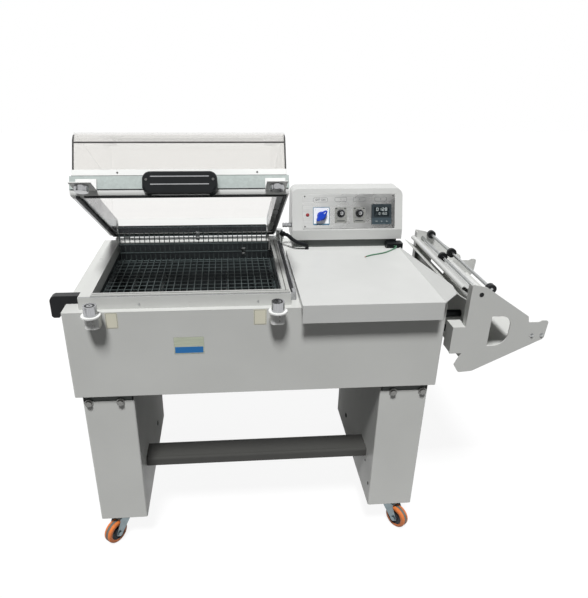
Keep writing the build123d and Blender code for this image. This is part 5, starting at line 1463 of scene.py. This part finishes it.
class SEALER_OT_glands(bpy.types.Operator):
    """Ribbed gland of the hinge post, bright gland of the control box and the terminal block"""

    bl_idname = "sealer.glands"
    bl_label = "Glands"

    # Radius and place along each gland, in millimetres
    POST = ((8.9, 0), (8.9, 4.6), (7.6, 5), (7.6, 6.4), (8.9, 6.8), (8.9, 10.6), (7.2, 14))
    BOX = (
        (5.6, 0), (7.4, 0.6), (8, 1.4), (8, 7.6), (6.6, 8), (6.6, 9.6), (8, 10), (8, 17.4), (6.8, 17.8),
        (6.8, 19.2), (8, 19.6), (8, 32),
    )

    # Way that the post's gland points, how far back it starts, and the terminal block's rounding
    POST_WAY = Vector((26, -28, 0)).normalized()
    POST_START = 0.0073
    TERMINAL_ROUND = 0.0015

    def execute(self, context):
        solids = solids_of("cable_glands")
        solids.sort(key=lambda solid: middle_of(solid).x)
        post, box, terminal = solids
        low, high = box_of(box)
        start = Vector((low.x, (low.y + high.y) / 2, (low.z + high.z) / 2))
        bright = bmesh.new()
        lathe(bright, facing(start, RIGHT, UP), self.BOX)
        put("box_gland", bright, "polished_steel", "machine", "chrome", "cable_glands")
        outlet = middle_of(post) - self.POST_WAY * self.POST_START
        ribbed = bmesh.new()
        lathe(ribbed, facing(outlet, self.POST_WAY, UP), self.POST)
        put("post_gland", ribbed, "black_plastic", "machine", "black_plastic", "cable_glands")
        round_edges(terminal, self.TERMINAL_ROUND)
        put("terminal_block", terminal, "black_plastic", "machine", "black_plastic", "cable_glands")
        for solid in (post, box):
            solid.free()
        return {"FINISHED"}


class SEALER_OT_film_rods(bpy.types.Operator):
    """Film rods with their moulded wheels"""

    bl_idname = "sealer.film_rods"
    bl_label = "Film rods"

    # Radius and offset from the wheel's middle, and that middle behind the front, in millimetres
    WHEEL = mirrored((
        (5.05, 6), (9, 6), (9.6, 4.6), (12, 4.6), (12.6, 6), (14.4, 6), (15.2, 5.2),
    ))
    WHEEL_BACK = 351

    def execute(self, context):
        for which in ("upper", "lower"):
            node = which + "_film_rod"
            body = which + "_rod"
            low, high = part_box(node)
            axis = Vector(JOINTS[body + "_spin"]["pos_m"])
            start = Vector((axis.x, low.y, axis.z))
            length = (high.y - low.y) * 1000
            rod = bmesh.new()
            profile = [(4.2, 0), (4.9, 0.7), (4.9, length - 0.7), (4.2, length)]
            lathe(rod, facing(start, BACK, UP), profile)
            put(which + "_rod_bar", rod, "zinc_plate", body, "steel", node)
            wheel = bmesh.new()
            middle = Vector((axis.x, spot(0, self.WHEEL_BACK, 0).y, axis.z))
            lathe(wheel, facing(middle, BACK, UP), self.WHEEL, ring=True)
            put(which + "_rod_wheel", wheel, "black_plastic", body, "black_plastic", node)
        return {"FINISHED"}


class SEALER_OT_unwinder_trim(bpy.types.Operator):
    """Plugs of the rod holes and studs of the unwinder's end plates"""

    bl_idname = "sealer.unwinder_trim"
    bl_label = "Unwinder trim"

    # Spots along the cabinet and up from the floor, in millimetres, and the studs' radius
    HOLE = (1140, 832)
    STUDS = ((1315, 699), (1345, 699))
    STUD_RADIUS = 0.0044
    PLUG = ((6.6, 0), (6.6, 0.7), (5.6, 1.3), (3.6, 1.3), (3.2, 0.7))

    def execute(self, context):
        plugs = bmesh.new()
        studs = bmesh.new()
        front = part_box("unwinder_front_plate")[0].y
        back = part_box("unwinder_rear_plate")[1].y
        for y, way in ((front, -BACK), (back, BACK)):
            hole = spot(self.HOLE[0], 0, self.HOLE[1])
            hole.y = y
            lathe(plugs, facing(hole, way), self.PLUG)
            for x, z in self.STUDS:
                place = spot(x, 0, z)
                place.y = y
                hex_head(studs, facing(place, way), self.STUD_RADIUS)
        put("rod_plugs", plugs, "black_plastic", "machine", "black_plastic")
        put("unwinder_studs", studs, "zinc_plate", "machine", "steel")
        return {"FINISHED"}


class SEALER_OT_stage(bpy.types.Operator):
    """White floor, soft lamps, dark flags and white surroundings"""

    bl_idname = "sealer.stage"
    bl_label = "Stage"

    # What the lamps point at, the key lamp's place and the soft boxes' width
    AIM = Vector((0, 0, 0.8))
    KEY_PLACE = (-0.28, -1.32, 3.6)
    BOX_SIZE = 1.6

    # Each soft box with its power and place
    BOXES = {
        "fill": ("fill", (-1.6, -3.2, 2.0)),
        "left": ("sides", (-3.2, 0.4, 1.0)),
        "right": ("sides", (3.2, 0.4, 1.0)),
        "back": ("back", (0, 3.2, 1.0)),
    }

    # Place, width and height of each upright flag, and of the one that lies below the floor
    FLAGS = {
        "left_flag": ((-2.3, -1.3, 1.2), 1.5, 2.6),
        "right_flag": ((2.3, -1.6, 1.2), 1.3, 2.6),
        "panel_flag": ((1.62, -3.0, 2.1), 1.5, 1.8),
    }
    FLOOR_FLAG = ((0, 0.72, -0.009), 1.6, 1.2)

    FLOOR_HALF = 9
    FLOOR_DROP = 0.0004

    def execute(self, context):
        light = context.scene.sealer_light
        bm = bmesh.new()
        bmesh.ops.create_grid(bm, x_segments=1, y_segments=1, size=self.FLOOR_HALF)
        floor_mesh = bpy.data.meshes.new("floor")
        bm.to_mesh(floor_mesh)
        bm.free()
        floor = bpy.data.objects.new("floor", floor_mesh)
        context.scene.collection.objects.link(floor)
        floor.location.z = -self.FLOOR_DROP
        finish = Finish("studio_floor", light.floor, 0.9)
        finish.set("Emission Color", (1, 1, 1, 1))
        finish.drive("Emission Strength", finish.spread(seen_rays(finish.tree), 0, light.glow, 0, 1))
        finish.dull(3, 0.85, 0.95)
        floor_mesh.materials.append(finish.material)
        key = bpy.data.lights.new("key", "SUN")
        key.energy = light.key
        key.angle = light.softness
        self.hang(context, key, self.KEY_PLACE)
        for name, (power, place) in self.BOXES.items():
            box = bpy.data.lights.new(name, "AREA")
            box.energy = getattr(light, power)
            box.size = self.BOX_SIZE
            self.hang(context, box, place)
        for name, (place, *measures) in self.FLAGS.items():
            inward = Vector((self.AIM.x - place[0], self.AIM.y - place[1], 0))
            self.flag(context, light.flag, name, facing(Vector(place), inward, BACK), *measures)
        place, *measures = self.FLOOR_FLAG
        self.flag(context, light.flag, "floor_flag", facing(Vector(place), UP), *measures)
        self.surroundings(context, light.around)
        context.scene.view_settings.view_transform = "Standard"
        return {"FINISHED"}

    def hang(self, context, data, place):
        """Lamp turned to the machine."""
        lamp = bpy.data.objects.new(data.name, data)
        lamp.matrix_world = facing(Vector(place), Vector(place) - self.AIM)
        lamp.visible_camera = False
        lamp.visible_glossy = False
        lamp.visible_transmission = False
        context.scene.collection.objects.link(lamp)

    def flag(self, context, tint, name, place, width, height):
        """Dark card that only glossy surfaces show."""
        bm = bmesh.new()
        pad(bm, place, width * 1000, height * 1000, 20, 10)
        mesh = bpy.data.meshes.new(name)
        bm.to_mesh(mesh)
        bm.free()
        card = bpy.data.objects.new(name, mesh)
        context.scene.collection.objects.link(card)
        mesh.materials.append(moulding(name, tint, 0.8))
        card.visible_camera = False
        card.visible_diffuse = False
        card.visible_transmission = False
        card.visible_shadow = False

    def surroundings(self, context, around):
        """Even light from all round, which the camera, gloss and clear parts see as white."""
        world = bpy.data.worlds.new("surroundings")
        context.scene.world = world
        world.use_nodes = True
        tree = world.node_tree
        background = tree.nodes["Background"]
        background.inputs["Color"].default_value = (1, 1, 1, 1)
        span = tree.nodes.new("ShaderNodeMapRange")
        span.inputs["To Min"].default_value = around
        span.inputs["To Max"].default_value = 1
        tree.links.new(seen_rays(tree), span.inputs["Value"])
        tree.links.new(span.outputs["Result"], background.inputs["Strength"])


OPERATORS = (
    SEALER_OT_camera,
    SEALER_OT_earth_lead,
    SEALER_OT_node_finishes,
    SEALER_OT_caster_wheels,
    SEALER_OT_hood_bars,
    SEALER_OT_hood_trim,
    SEALER_OT_armatures,
    SEALER_OT_side_handle,
    SEALER_OT_rim_trim,
    SEALER_OT_guard_clamps,
    SEALER_OT_magnet_trim,
    SEALER_OT_panel_plates,
    SEALER_OT_knob_caps,
    SEALER_OT_main_switch,
    SEALER_OT_controller_face,
    SEALER_OT_front_plates,
    SEALER_OT_leg_plugs,
    SEALER_OT_cabinet_screws,
    SEALER_OT_glands,
    SEALER_OT_film_rods,
    SEALER_OT_unwinder_trim,
    SEALER_OT_stage,
)


class SEALER_PT_sidebar(bpy.types.Panel):
    """Sidebar panel that lists the pieces"""

    bl_label = "L-bar sealer"
    bl_idname = "SEALER_PT_sidebar"
    bl_space_type = "VIEW_3D"
    bl_region_type = "UI"
    bl_category = "Sealer"

    def draw(self, context):
        for operator in OPERATORS:
            self.layout.operator(operator.bl_idname)


GROUPS = {
    "sealer_colours": SealerColours,
    "sealer_sizes": SealerSizes,
    "sealer_view": SealerView,
    "sealer_light": SealerLight,
}
CLASSES = (*GROUPS.values(), *OPERATORS, SEALER_PT_sidebar)


def register():
    """Register the classes and the scene's properties."""
    for item in CLASSES:
        bpy.utils.register_class(item)
    for name, group in GROUPS.items():
        setattr(bpy.types.Scene, name, bpy.props.PointerProperty(type=group))


def unregister():
    """Take the properties and classes out again."""
    for name in GROUPS:
        delattr(bpy.types.Scene, name)
    for item in reversed(CLASSES):
        bpy.utils.unregister_class(item)


def main():
    """Make every piece in order."""
    register()
    for operator in OPERATORS:
        group, name = operator.bl_idname.split(".")
        getattr(getattr(bpy.ops, group), name)()


if __name__ == "__main__":
    main()
